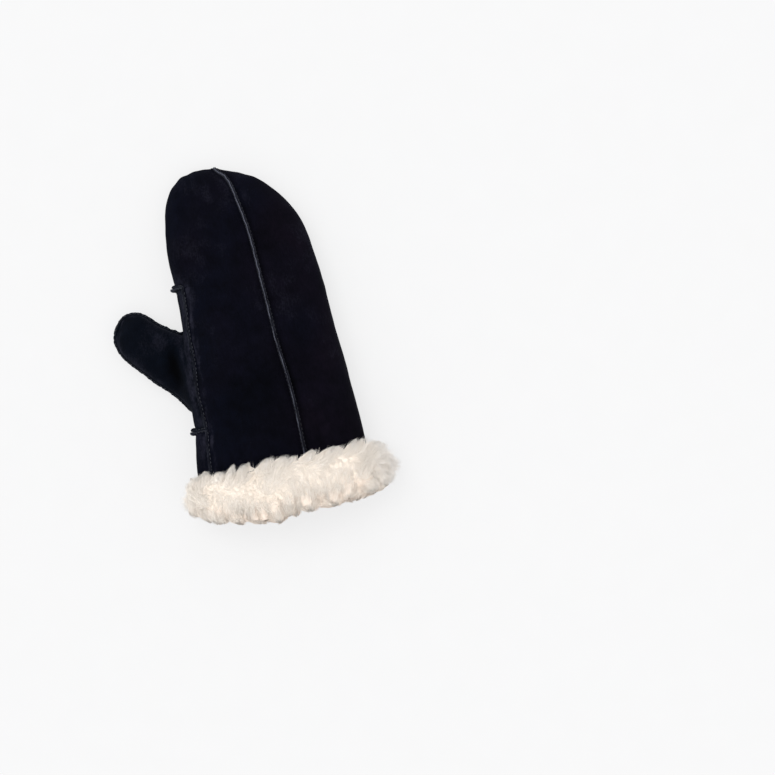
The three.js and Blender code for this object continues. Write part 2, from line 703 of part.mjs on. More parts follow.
/** Rows of locks over the fleece band, thinned out where it is pressed against the floor. */
function fleeceLocks() {
  const rows = [
    { band: 0.08, roll: 0, out: 0.55, lean: -0.45 },
    { band: 0.34, roll: 0, out: 0.75, lean: -0.25 },
    { band: 0.64, roll: 0, out: 0.8, lean: 0.1 },
    { band: 0.95, roll: 0, out: 0.55, lean: 0.35 },
  ];
  const locks = [];
  rows.forEach((row, r) => {
    for (let i = 0; i < LOCKS_ROUND; i += 1) {
      const jitter = scatter(i, r) - 0.5;
      const angle = angleRoundFleece((i + 0.5 * (r % 2) + 0.4 * jitter) / LOCKS_ROUND);
      const y = row.band * FLEECE_BAND - row.roll * FLEECE_ROLL;
      const depth = fleeceDepth(angle, FLEECE_SIDE, FLEECE_TOP, FLEECE_UNDER);
      const root = fleecePoint(angle, y, row.out * depth);
      const outward = fleecePoint(angle, y, row.out * depth + 1).sub(root).normalize();
      const lean = new THREE.Vector3(
        0.5 * (scatter(i, r, 1) - 0.5),
        row.lean + 0.4 * (scatter(i, r, 2) - 0.5),
        -0.25,
      );
      const pressed = Math.sin(angle) < -0.75;
      const length = LOCK_LENGTH * (0.8 + 0.4 * scatter(i, r, 3));
      const width = LOCK_WIDTH * (0.85 + 0.3 * scatter(i, r, 4));
      if (!pressed || r === 0) locks.push(lock(root, outward, lean, length, width));
    }
  });
  return joined(locks);
}

/** The turned-back fleece, clear of the leather and of the seams that run under its edge. */
function cuffFleece() {
  const leather = handSolid(-FIT_GAP, FIT_GAP)
    .subtract(handSolid(LEATHER + FIT_GAP, 2 * FLEECE_ROLL));
  const seams = [centreSeam, sideSeam].map((path) => (
    standingSeam(path.filter((p) => p.y > FLEECE_BAND - SEAM_STEP), true, FIT_GAP)
  ));
  const aboveFloor = prism([
    new THREE.Vector2(-clearOfPart, -clearOfPart),
    new THREE.Vector2(clearOfPart, -clearOfPart),
    new THREE.Vector2(clearOfPart, clearOfPart),
    new THREE.Vector2(-clearOfPart, clearOfPart),
  ], 0, clearOfPart);
  const fleece = fleeceRing().add(fleeceLocks());
  return mainBody(fleece.subtract(leather).subtract(joined(seams)).intersect(aboveFloor));
}

/** The lining sleeve that shows in the mouth, from the hook of the cuff inward. */
function mouthLining() {
  const angles = anglesRound(AROUND);
  const rows = handRows.filter((y) => y > LINING_HOOK && y <= LINING_DEPTH);
  const outer = LEATHER + FIT_GAP;
  const rings = angles.map((angle) => [
    ...rows.map((y) => handPoint(handSection(y, outer), angle)),
    ...rows.toReversed().map((y) => handPoint(handSection(y, outer + LINING), angle)),
  ]);
  return solidOf(lofted(rings, true));
}

/** A named mesh from a solid. */
function meshOf(name, solid, material) {
  const { vertProperties, triVerts } = solid.getMesh();
  const geometry = new THREE.BufferGeometry();
  geometry.setAttribute('position', new THREE.BufferAttribute(new Float32Array(vertProperties), 3));
  geometry.setIndex(Array.from(triVerts));
  geometry.computeVertexNormals();
  const mesh = new THREE.Mesh(geometry, material);
  mesh.name = name;
  return mesh;
}

const suede = new THREE.MeshStandardMaterial({ color: 0x0e0f18, roughness: 0.95, metalness: 0 });
const gussetSuede = new THREE.MeshStandardMaterial({ color: 0x10121c, roughness: 0.95 });
const fleece = new THREE.MeshStandardMaterial({ color: 0xf1e6db, roughness: 1 });
const lining = new THREE.MeshStandardMaterial({ color: 0xe3d3c2, roughness: 1 });

const panels = leatherPanels();
const group = new THREE.Group();
group.add(
  meshOf('palm_and_outer_panel', panels.palm, suede),
  meshOf('back_thumb_side_panel', panels.back, suede),
  meshOf('thumb_back_panel', panels.thumb, gussetSuede),
  meshOf('cuff_fleece', cuffFleece(), fleece),
  meshOf('mouth_lining', mouthLining(), lining),
);

// The origin is under the middle of the mitten, on the surface that it lies on
const box = new THREE.Box3().setFromObject(group);
const middle = box.getCenter(new THREE.Vector3());
group.position.set(-middle.x, -middle.y, -box.min.z);

export default group;
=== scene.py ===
"""A sheepskin mitten lying palm down: black suede panels, outward seams and a fleece cuff.

Every form is worked out in millimetres in the mitten's own plan frame, where X runs across
the hand, Y from the mouth edge of the leather to the fingertip and Z up, and is moved to
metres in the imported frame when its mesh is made.
"""
import logging
import math
from dataclasses import dataclass, field
from enum import Enum

import bpy
import numpy as np
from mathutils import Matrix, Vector
from mathutils.bvhtree import BVHTree
from mathutils.kdtree import KDTree

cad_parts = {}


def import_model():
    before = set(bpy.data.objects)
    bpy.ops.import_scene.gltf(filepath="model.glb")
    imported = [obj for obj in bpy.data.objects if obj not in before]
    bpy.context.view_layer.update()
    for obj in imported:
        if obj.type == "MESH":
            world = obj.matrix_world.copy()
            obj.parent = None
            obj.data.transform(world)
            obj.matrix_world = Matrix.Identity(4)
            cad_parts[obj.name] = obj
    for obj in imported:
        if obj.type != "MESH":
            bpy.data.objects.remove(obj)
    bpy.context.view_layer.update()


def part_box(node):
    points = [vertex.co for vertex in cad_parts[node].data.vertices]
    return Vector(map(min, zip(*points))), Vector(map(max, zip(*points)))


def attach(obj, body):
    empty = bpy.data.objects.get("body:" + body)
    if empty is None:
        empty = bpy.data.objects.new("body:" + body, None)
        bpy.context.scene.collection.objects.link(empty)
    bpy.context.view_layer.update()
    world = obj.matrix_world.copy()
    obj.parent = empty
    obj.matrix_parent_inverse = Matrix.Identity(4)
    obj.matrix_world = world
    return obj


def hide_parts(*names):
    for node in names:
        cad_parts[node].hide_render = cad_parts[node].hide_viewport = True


log = logging.getLogger("mitten")

METRE = 0.001
WAVES_SUMMED = 16


class Panel(Enum):
    """The suede panels, by the frame node that each one stands for."""

    PALM = "palm_and_outer_panel"
    BACK = "back_thumb_side_panel"
    THUMB = "thumb_back_panel"


class Face(Enum):
    """The side of the mitten that a seam is laid on."""

    BACK = 1
    PALM = -1


class WoolSide(Enum):
    """Stretches of the cuff, each made as a wool piece of its own."""

    OUTER_EDGE = "cuff_wool_outer_edge"
    BACK_OUTER = "cuff_wool_back_outer"
    BACK_THUMB = "cuff_wool_back_thumb"
    THUMB_EDGE = "cuff_wool_thumb_edge"
    PALM = "cuff_wool_palm"


def ramp(value: np.ndarray, low: float, high: float) -> np.ndarray:
    """Return 0 below low, 1 above high and a smooth ramp between."""
    share = np.clip((value - low) / (high - low), 0.0, 1.0)
    return share * share * (3.0 - 2.0 * share)


def unit(vectors: np.ndarray) -> np.ndarray:
    """Return vectors scaled to length 1."""
    return vectors / np.maximum(np.linalg.norm(vectors, axis=-1, keepdims=True), 1e-9)


def bell(distance: np.ndarray, wide: float) -> np.ndarray:
    """Return 1 at distance 0, fading on both sides over about wide."""
    return np.exp(-((distance / wide) ** 2))


def waves(points: np.ndarray, wavelength: float, seed: int) -> np.ndarray:
    """Smooth repeatable noise with a spread of about 1.

    Args:
        points: Places, one row each, in any number of dimensions.
        wavelength: Typical distance between crests, in the same unit.
        seed: Which noise to draw.

    Returns:
        One value for each place.
    """
    rng = np.random.default_rng(seed)
    ways = unit(rng.normal(size=(WAVES_SUMMED, points.shape[1])))
    rates = math.tau / wavelength * rng.uniform(0.7, 1.4, size=WAVES_SUMMED)
    phases = rng.uniform(0.0, math.tau, size=WAVES_SUMMED)
    crests = np.sin(points @ (ways * rates[:, None]).T + phases)
    return crests.sum(axis=1) * math.sqrt(2.0 / WAVES_SUMMED)


@dataclass(frozen=True)
class Wave:
    """One layer of smooth unevenness: how strong, how long its waves are and which draw."""

    strength: float
    wavelength: float
    seed: int

    def over(self, places: np.ndarray) -> np.ndarray:
        """Return its value at each place."""
        return self.strength * waves(places, self.wavelength, self.seed)


@dataclass(frozen=True)
class Patch:
    """A soft patch of the hand: where it lies, in shares of the hand, and its half sizes."""

    along: float
    across: float
    wide: float
    long: float


def path_reach(points: np.ndarray) -> np.ndarray:
    """Return the distance along a path at each of its points."""
    return np.concatenate([[0.0], np.cumsum(np.linalg.norm(np.diff(points, axis=0), axis=1))])


def eased(
    before: np.ndarray, start: np.ndarray, end: np.ndarray, after: np.ndarray, t: np.ndarray
) -> np.ndarray:
    """Return places on a smooth curve from start to end."""
    swing = 2.0 * before - 5.0 * start + 4.0 * end - after
    bend = 3.0 * start - before - 3.0 * end + after
    return start + 0.5 * ((end - before) * t + swing * t**2 + bend * t**3)


def section_turn(
    angle: np.ndarray, top_round: float, under_round: float
) -> tuple[np.ndarray, np.ndarray]:
    """Work out the outline of a soft flattened section.

    Args:
        angle: Angles round the section.
        top_round: How square its upper half is, 2 for an ellipse.
        under_round: How square its lower half is.

    Returns:
        How far across and how far up the outline lies, each from -1 to 1.
    """
    power = 2.0 / np.where(np.sin(angle) >= 0.0, top_round, under_round)
    across = np.sign(np.cos(angle)) * np.abs(np.cos(angle)) ** power
    up = np.sign(np.sin(angle)) * np.abs(np.sin(angle)) ** power
    return across, up


class Table:
    """Columns of shares along a part, read by a smooth curve through the rows."""

    def __init__(self, names: str, rows: list[tuple[float, ...]]) -> None:
        """Keep the rows as one array for each column, the first of them 'along'."""
        self.columns = {
            name: np.array(column, dtype=float) for name, column in zip(names.split(), zip(*rows))
        }

    def at(self, name: str, along: np.ndarray) -> np.ndarray:
        """Read one column by a smooth curve through its rows.

        Args:
            name: The column's name.
            along: Shares along the part.

        Returns:
            The column's value at each share.
        """
        rows = self.columns["along"]
        values = self.columns[name]
        share = np.asarray(along, dtype=float)
        last = len(rows) - 2
        i = np.clip(np.searchsorted(rows[1:], share, side="left"), 0, last)
        before = np.maximum(i - 1, 0)
        after = np.minimum(i + 2, last + 1)
        span = rows[i + 1] - rows[i]
        start = (values[i + 1] - values[before]) / (rows[i + 1] - rows[before]) * span
        end = (values[after] - values[i]) / (rows[after] - rows[i]) * span
        t = (share - rows[i]) / span
        bend = 2.0 * values[i] - 2.0 * values[i + 1] + start + end
        swing = -3.0 * values[i] + 3.0 * values[i + 1] - 2.0 * start - end
        return values[i] + start * t + swing * t**2 + bend * t**3


HAND_TABLE = Table("along left right top under lift", [
    (0.000, -0.612, 0.582, 0.929, 0.000, 1.00),
    (0.113, -0.602, 0.578, 0.940, 0.000, 0.88),
    (0.195, -0.583, 0.573, 0.966, 0.000, 0.53),
    (0.284, -0.550, 0.563, 1.002, 0.000, 0.13),
    (0.369, -0.540, 0.552, 1.005, -0.020, 0.00),
    (0.457, -0.530, 0.539, 0.990, -0.030, 0.00),
    (0.550, -0.488, 0.531, 0.952, -0.030, 0.00),
    (0.684, -0.478, 0.512, 0.881, -0.030, 0.00),
    (0.770, -0.479, 0.485, 0.817, -0.030, 0.00),
    (0.826, -0.469, 0.440, 0.757, -0.025, 0.00),
    (0.883, -0.446, 0.364, 0.671, -0.020, 0.00),
    (0.926, -0.416, 0.272, 0.586, -0.010, 0.00),
    (0.957, -0.371, 0.172, 0.500, 0.005, 0.00),
    (0.979, -0.319, 0.082, 0.405, 0.030, 0.00),
    (0.993, -0.254, -0.004, 0.310, 0.067, 0.00),
    (1.000, -0.172, -0.103, 0.238, 0.120, 0.00),
])

THUMB_TABLE = Table("along fore aft top under", [
    (0.000, 0.62, 0.80, 1.31, 0.19),
    (0.127, 0.61, 0.78, 1.27, 0.19),
    (0.254, 0.60, 0.69, 1.15, 0.17),
    (0.341, 0.58, 0.66, 0.98, 0.14),
    (0.420, 0.56, 0.65, 0.89, 0.10),
    (0.500, 0.55, 0.65, 0.87, 0.05),
    (0.595, 0.49, 0.63, 0.94, 0.00),
    (0.730, 0.44, 0.60, 1.00, -0.03),
    (0.829, 0.44, 0.55, 0.96, -0.03),
    (0.907, 0.41, 0.46, 0.85, 0.02),
    (0.966, 0.31, 0.32, 0.68, 0.16),
    (1.000, 0.15, 0.15, 0.52, 0.40),
])

CENTRE_SEAM = [
    (0.100, 0.169), (0.173, 0.166), (0.274, 0.168), (0.370, 0.158), (0.466, 0.139),
    (0.568, 0.132), (0.736, 0.117), (0.802, 0.109), (0.881, 0.080), (0.946, 0.045),
    (0.992, -0.018),
]
SIDE_SEAM = [
    (0.100, -0.500), (0.163, -0.496), (0.222, -0.482), (0.276, -0.467), (0.384, -0.474),
    (0.464, -0.453), (0.549, -0.450), (0.600, -0.437), (0.680, -0.423),
]
LOWER_TAB = (0.273, -0.556)
UPPER_TAB = (0.683, -0.478)
PALM_V_OUTER = [(0.709, -0.276), (0.684, -0.220), (0.621, -0.224), (0.521, -0.250)]
PALM_V_INNER = [(0.521, -0.250), (0.537, -0.371), (0.549, -0.491)]
PALM_HEEL = [(0.287, -0.397), (0.318, -0.440), (0.332, -0.510), (0.325, -0.562)]
CROTCH_NOTCH = (0.655, -0.585)
HEEL_NOTCH = (0.318, -0.740)


@dataclass
class Section:
    """The hand's sections at a row of places, each value an array."""

    y: np.ndarray
    middle: np.ndarray
    half: np.ndarray
    edge: np.ndarray
    top: np.ndarray
    under: np.ndarray
    slant: np.ndarray


@dataclass
class HandForm:
    """The hand part of the mitten as one smooth form. Lengths are in millimetres."""

    length: float = 282.0
    width: float = 116.0
    height: float = 42.0
    edge_share: float = 0.42
    top_round: float = 2.5
    under_round: float = 3.2
    mouth_slant: float = 3.0
    slant_reach: float = 90.0
    cuff_lift: float = 9.3
    palm_lift: float = 3.9
    lift_aside: tuple[float, float] = (0.12, 0.2)
    lift_start: tuple[float, float] = (0.24, 0.3)
    lift_end: tuple[float, float] = (0.72, 0.8)
    least_half: float = 0.6
    least_reach: float = 0.5

    def section(self, y: np.ndarray, inset: np.ndarray | float = 0.0) -> Section:
        """Work out the hand's sections.

        Args:
            y: Places along the hand.
            inset: How far the sections are drawn in on every side.

        Returns:
            The sections at those places.
        """
        y = np.asarray(y, dtype=float)
        along = np.clip(y / self.length, 0.0, 1.0)
        left = HAND_TABLE.at("left", along) * self.width + inset
        right = HAND_TABLE.at("right", along) * self.width - inset
        raised = HAND_TABLE.at("lift", along) * self.cuff_lift
        top = HAND_TABLE.at("top", along) * self.height + raised
        under = HAND_TABLE.at("under", along) * self.height + raised
        return Section(
            y=y,
            middle=(left + right) / 2.0,
            half=np.maximum((right - left) / 2.0, self.least_half),
            edge=under + (top - under) * self.edge_share,
            top=top - inset,
            under=under + inset,
            slant=self.mouth_slant * (1.0 - ramp(y, 0.0, self.slant_reach)),
        )

    def palm_floor(self, x: np.ndarray, y: np.ndarray) -> np.ndarray:
        """Work out how high the palm is held off the floor, so that its seams clear it.

        Args:
            x: Places across the hand.
            y: Places along it.

        Returns:
            The height at each place.
        """
        along = y / self.length
        aside = ramp(-x / self.width, *self.lift_aside)
        return self.palm_lift * aside * ramp(along, *self.lift_start) * (
            1.0 - ramp(along, *self.lift_end)
        )

    def point(
        self, y: np.ndarray, angle: np.ndarray, inset: np.ndarray | float = 0.0
    ) -> np.ndarray:
        """Work out points of the hand's surface.

        Args:
            y: Places along the hand.
            angle: Angles round it, 0 at the outer edge and half a turn at the thumb's.
            inset: How far inside the surface the points lie.

        Returns:
            The points.
        """
        cut = self.section(y, inset)
        across, up = section_turn(angle, self.top_round, self.under_round)
        x = cut.middle + cut.half * across
        reach = np.where(up >= 0.0, cut.top - cut.edge, cut.edge - cut.under)
        floor = np.maximum(inset + self.palm_floor(x, cut.y), 0.0)
        z = np.maximum(cut.edge + np.maximum(reach, self.least_reach) * up, floor)
        return np.stack(np.broadcast_arrays(x, cut.y + cut.slant * up, z), axis=-1)

    def surface_height(self, x: np.ndarray, y: np.ndarray, face: Face) -> np.ndarray:
        """Work out how high the outer surface lies.

        Args:
            x: Places across the hand.
            y: Places along it.
            face: The side whose surface is meant.

        Returns:
            The height over each place.
        """
        cut = self.section(y)
        share = np.minimum(np.abs(x - cut.middle) / cut.half, 0.999)
        power = self.top_round if face is Face.BACK else self.under_round
        up = (1.0 - share**power) ** (1.0 / power)
        if face is Face.BACK:
            return cut.edge + (cut.top - cut.edge) * up
        return np.maximum(cut.edge - (cut.edge - cut.under) * up, self.palm_floor(x, y))

    def plan(self, share: tuple[float, float]) -> np.ndarray:
        """Return the place in plan of shares along and across the hand."""
        along, across = share
        return np.array([across * self.width, along * self.length])

    def even_angles(self, count: int, y: float, out: float) -> np.ndarray:
        """Work out angles that step evenly round a section."""
        fine = np.linspace(0.0, math.tau, 2001)
        reach = path_reach(self.point(np.full_like(fine, y), fine, -out))
        return np.interp(np.arange(count) / count * reach[-1], reach, fine)


@dataclass
class ThumbForm:
    """The thumb as one smooth form that grows out of the hand. Lengths are in millimetres."""

    hand: HandForm
    length: float = 100.0
    width: float = 35.0
    height: float = 26.0
    seam_height: float = 12.0
    top_round: float = 2.3
    under_round: float = 2.6
    angle: float = math.radians(45.7)
    root: tuple[float, float] = (0.3695, -0.298)
    least_half: float = 0.4

    @property
    def direction(self) -> np.ndarray:
        """The way the thumb points in plan."""
        return np.array([-math.sin(self.angle), math.cos(self.angle)])

    @property
    def fore(self) -> np.ndarray:
        """The way across the thumb in plan, toward the fingertip."""
        return np.array([math.cos(self.angle), math.sin(self.angle)])

    def outline(self, along: np.ndarray, side: int, out: float = 0.0) -> np.ndarray:
        """Work out the thumb's outline in plan.

        Args:
            along: Shares along the thumb.
            side: 1 for the side that faces the fingertip, -1 for the mouth's.
            out: How far outside the thumb the points lie.

        Returns:
            The points in plan.
        """
        along = np.asarray(along, dtype=float)
        half = THUMB_TABLE.at("fore" if side > 0 else "aft", along) * self.width + out
        reach = (along * (self.length + out))[..., None]
        middle = self.hand.plan(self.root) + reach * self.direction
        return middle + (side * np.maximum(half, self.least_half))[..., None] * self.fore

    def point(self, along: np.ndarray, angle: np.ndarray) -> np.ndarray:
        """Work out points of the thumb's surface.

        Args:
            along: Shares along the thumb.
            angle: Angles round it.

        Returns:
            The points.
        """
        across, up = section_turn(angle, self.top_round, self.under_round)
        aft = self.outline(along, -1)
        fore = self.outline(along, 1)
        plan = aft + (fore - aft) * ((across + 1.0) / 2.0)[..., None]
        top = THUMB_TABLE.at("top", along) * self.height
        under = THUMB_TABLE.at("under", along) * self.height
        reach = np.where(up >= 0.0, top - self.seam_height, self.seam_height - under)
        z = np.maximum(self.seam_height + np.maximum(reach, self.least_half) * up, 0.0)
        return np.concatenate([plan, z[..., None]], axis=-1)


class Workshop:
    """Turns arrays in the plan frame into pieces of the scene."""

    def __init__(self, hand: HandForm) -> None:
        """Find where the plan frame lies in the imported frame."""
        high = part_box(Panel.PALM.value)[1]
        edge = float(HAND_TABLE.at("right", np.array(0.0))) * hand.width
        self.origin = np.array([high[0] - edge * METRE, high[1] - hand.length * METRE, 0.0])

    def metres(self, points: np.ndarray) -> np.ndarray:
        """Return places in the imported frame, in metres."""
        return points * METRE + self.origin

    def mesh(self, name: str, points: np.ndarray, faces: np.ndarray) -> bpy.types.Mesh:
        """Make a smooth-shaded mesh.

        Args:
            name: The mesh's name.
            points: Places in the plan frame, in millimetres.
            faces: Corner numbers, one row for each face.

        Returns:
            The new mesh.
        """
        mesh = bpy.data.meshes.new(name)
        mesh.vertices.add(len(points))
        mesh.vertices.foreach_set("co", self.metres(points).astype(np.float32).ravel())
        mesh.loops.add(faces.size)
        mesh.loops.foreach_set("vertex_index", faces.astype(np.int32).ravel())
        mesh.polygons.add(len(faces))
        starts = np.arange(0, faces.size, faces.shape[1], dtype=np.int32)
        mesh.polygons.foreach_set("loop_start", starts)
        mesh.update(calc_edges=True)
        mesh.validate()
        mesh.shade_smooth()
        return mesh

    def piece(
        self,
        name: str,
        points: np.ndarray,
        faces: np.ndarray,
        material: bpy.types.Material,
        slot: str,
        node: str | None,
        marks: dict[str, np.ndarray],
    ) -> bpy.types.Object:
        """Make a piece of the mitten that stands in the scene and rides on its one body.

        Args:
            name: The piece's name.
            points: Places in the plan frame, in millimetres.
            faces: Corner numbers, one row for each face.
            material: The piece's material.
            slot: The name of a material slot; not used.
            node: The node of the frame that it stands for, or None where it only adds to them.
            marks: Values for each point that the material reads, by attribute name.

        Returns:
            The new object.
        """
        mesh = self.mesh(name, points, faces)
        for mark, values in marks.items():
            attribute = mesh.attributes.new(mark, "FLOAT", "POINT")
            attribute.data.foreach_set("value", values.astype(np.float32))
        mesh.materials.append(material)
        made = bpy.data.objects.new(name, mesh)
        bpy.context.scene.collection.objects.link(made)
        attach(made, "root")
        if node is not None:
            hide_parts(node)
        return made


def lofted(rings: np.ndarray, loop: bool = False) -> np.ndarray:
    """Return four-cornered faces through a grid of closed rings.

    Args:
        rings: Grid of corner numbers, one row for each ring.
        loop: Whether the last ring joins the first.

    Returns:
        Corner numbers, four for each face.
    """
    grid = np.concatenate([rings, rings[:1]]) if loop else rings
    grid = np.concatenate([grid, grid[:, :1]], axis=1)
    corners = [grid[:-1, :-1], grid[:-1, 1:], grid[1:, 1:], grid[1:, :-1]]
    return np.stack([c.ravel() for c in corners], axis=1)


def triangles(quads: np.ndarray) -> np.ndarray:
    """Split four-cornered faces in two."""
    return np.concatenate([quads[:, [0, 1, 2]], quads[:, [0, 2, 3]]])


def point_normals(points: np.ndarray, quads: np.ndarray) -> np.ndarray:
    """Work out normals, weighed by the areas of the faces round each point.

    Args:
        points: The mesh's points.
        quads: Its four-cornered faces.

    Returns:
        Each point's unit normal.
    """
    corners = points[quads]
    each = np.cross(corners[:, 2] - corners[:, 0], corners[:, 3] - corners[:, 1])
    return unit(np.stack([
        np.bincount(quads.ravel(), weights=np.repeat(each[:, k], 4), minlength=len(points))
        for k in range(3)
    ], axis=1))


def sides_of(faces: np.ndarray) -> np.ndarray:
    """Return every side of every face, as its two corner numbers."""
    return np.stack([faces, np.roll(faces, -1, axis=1)], axis=2).reshape(-1, 2)


def edges_of(faces: np.ndarray) -> np.ndarray:
    """Return each edge once, as its two corner numbers."""
    return np.unique(np.sort(sides_of(faces), axis=1), axis=0)


def relaxed(points: np.ndarray, edges: np.ndarray, amounts: list[float]) -> np.ndarray:
    """Move each point toward the mean of its neighbours, or away from it.

    Args:
        points: The mesh's points.
        edges: Its edges.
        amounts: How far each round moves them, as a share of the way.

    Returns:
        The moved points.
    """
    size = len(points)
    count = np.maximum(np.bincount(edges.ravel(), minlength=size), 1)
    one, other = edges[:, 0], edges[:, 1]
    for amount in amounts:
        total = np.stack([
            np.bincount(one, weights=points[other, k], minlength=size)
            + np.bincount(other, weights=points[one, k], minlength=size)
            for k in range(points.shape[1])
        ], axis=1)
        points = points + amount * (total / count[:, None] - points)
    return points


def inside(places: np.ndarray, outline: np.ndarray) -> np.ndarray:
    """Tell which places lie inside a closed outline in plan.

    Args:
        places: Places in plan.
        outline: The outline's corners, in order.

    Returns:
        Whether each place lies inside.
    """
    found = np.zeros(len(places), dtype=bool)
    x, y = places[:, 0], places[:, 1]
    for (ax, ay), (bx, by) in zip(outline, np.roll(outline, -1, axis=0)):
        if ay == by:
            continue
        spans = (ay > y) != (by > y)
        found ^= spans & (x < ax + (bx - ax) * (y - ay) / (by - ay))
    return found


def smooth_path(points: np.ndarray, step: float) -> np.ndarray:
    """Lay a smooth path through points.

    Args:
        points: The points, in order.
        step: About how far apart the path's places lie.

    Returns:
        Evenly spaced places on the path.
    """
    ends = np.concatenate([points[:1], points, points[-1:]])
    t = np.linspace(0.0, 1.0, 40, endpoint=False)[:, None]
    parts = [eased(*ends[i - 1:i + 3], t) for i in range(1, len(ends) - 2)]
    fine = np.concatenate([*parts, points[-1:]])
    reach = path_reach(fine)
    steps = max(2, int(round(reach[-1] / step)))
    wanted = np.linspace(0.0, reach[-1], steps + 1)
    return np.stack([np.interp(wanted, reach, fine[:, k]) for k in range(points.shape[1])], axis=1)


def softened(values: np.ndarray, rounds: int) -> np.ndarray:
    """Even out a row of values or vectors, its ends kept.

    Args:
        values: The row.
        rounds: How many times each value is mixed with its neighbours.

    Returns:
        The evened row.
    """
    for _ in range(rounds):
        values = values.copy()
        values[1:-1] = 0.25 * values[:-2] + 0.5 * values[1:-1] + 0.25 * values[2:]
    return values


def search_tree(points: np.ndarray) -> KDTree:
    """Sort points for quick searches of the nearest.

    Args:
        points: The points, which are found by their numbers in this row.

    Returns:
        The tree.
    """
    tree = KDTree(len(points))
    for i, place in enumerate(points):
        tree.insert(Vector(place), i)
    tree.balance()
    return tree


class Surface:
    """Finds places on a mesh, in the plan frame."""

    def __init__(self, points: np.ndarray, faces: np.ndarray) -> None:
        """Sort the faces for quick searches."""
        self.tree = BVHTree.FromPolygons(points.tolist(), faces.tolist())

    def nearest(self, places: np.ndarray) -> tuple[np.ndarray, np.ndarray]:
        """Return the nearest points of the surface and their normals."""
        hits = [self.tree.find_nearest(Vector(place)) for place in places]
        return np.array([hit[0][:] for hit in hits]), np.array([hit[1][:] for hit in hits])

    def dropped(self, plan: np.ndarray, face: Face) -> tuple[np.ndarray, np.ndarray]:
        """Drop plan places onto the surface from above, or raise them from below.

        Args:
            plan: Places in plan.
            face: The side to come from.

        Returns:
            The points that are met and their normals.
        """
        start = 200.0 * face.value
        way = Vector((0.0, 0.0, -face.value))
        found, normals = [], []
        for x, y in plan:
            place, normal, _, _ = self.tree.ray_cast(Vector((x, y, start)), way)
            if place is None:
                place, normal, _, _ = self.tree.find_nearest(Vector((x, y, 0.0)))
            found.append(place[:])
            normals.append(normal[:])
        return np.array(found), np.array(normals)


@dataclass
class SeamLine:
    """One seam: where it runs and which panel lies on each side of it.

    The right side is the one on the right hand of someone who walks along the seam with the
    surface's outward side up. The pair of lip shares says how pale the left and the right lip
    are: the cut edge's own paleness, with the lip on the lit side painted paler and the lip on
    the shaded side painted darker. The light share says how strong the thread's painted
    highlight is, and swell where the two edges open into a tab.
    """

    name: str
    points: np.ndarray
    normals: np.ndarray
    left: Panel
    right: Panel
    height: np.ndarray
    raw_and_lit: tuple[float, float]
    light: float = 0.15
    swell: np.ndarray | None = None
    switch: int = 0
    before_switch: Panel | None = None

    def sides(self) -> np.ndarray:
        """Return the unit direction to the seam's right at each point."""
        tangents = unit(np.gradient(self.points, axis=0))
        return unit(np.cross(softened(tangents, 4), self.normals))

    def reach(self) -> np.ndarray:
        """Return the distance along the seam at each point."""
        return path_reach(self.points)


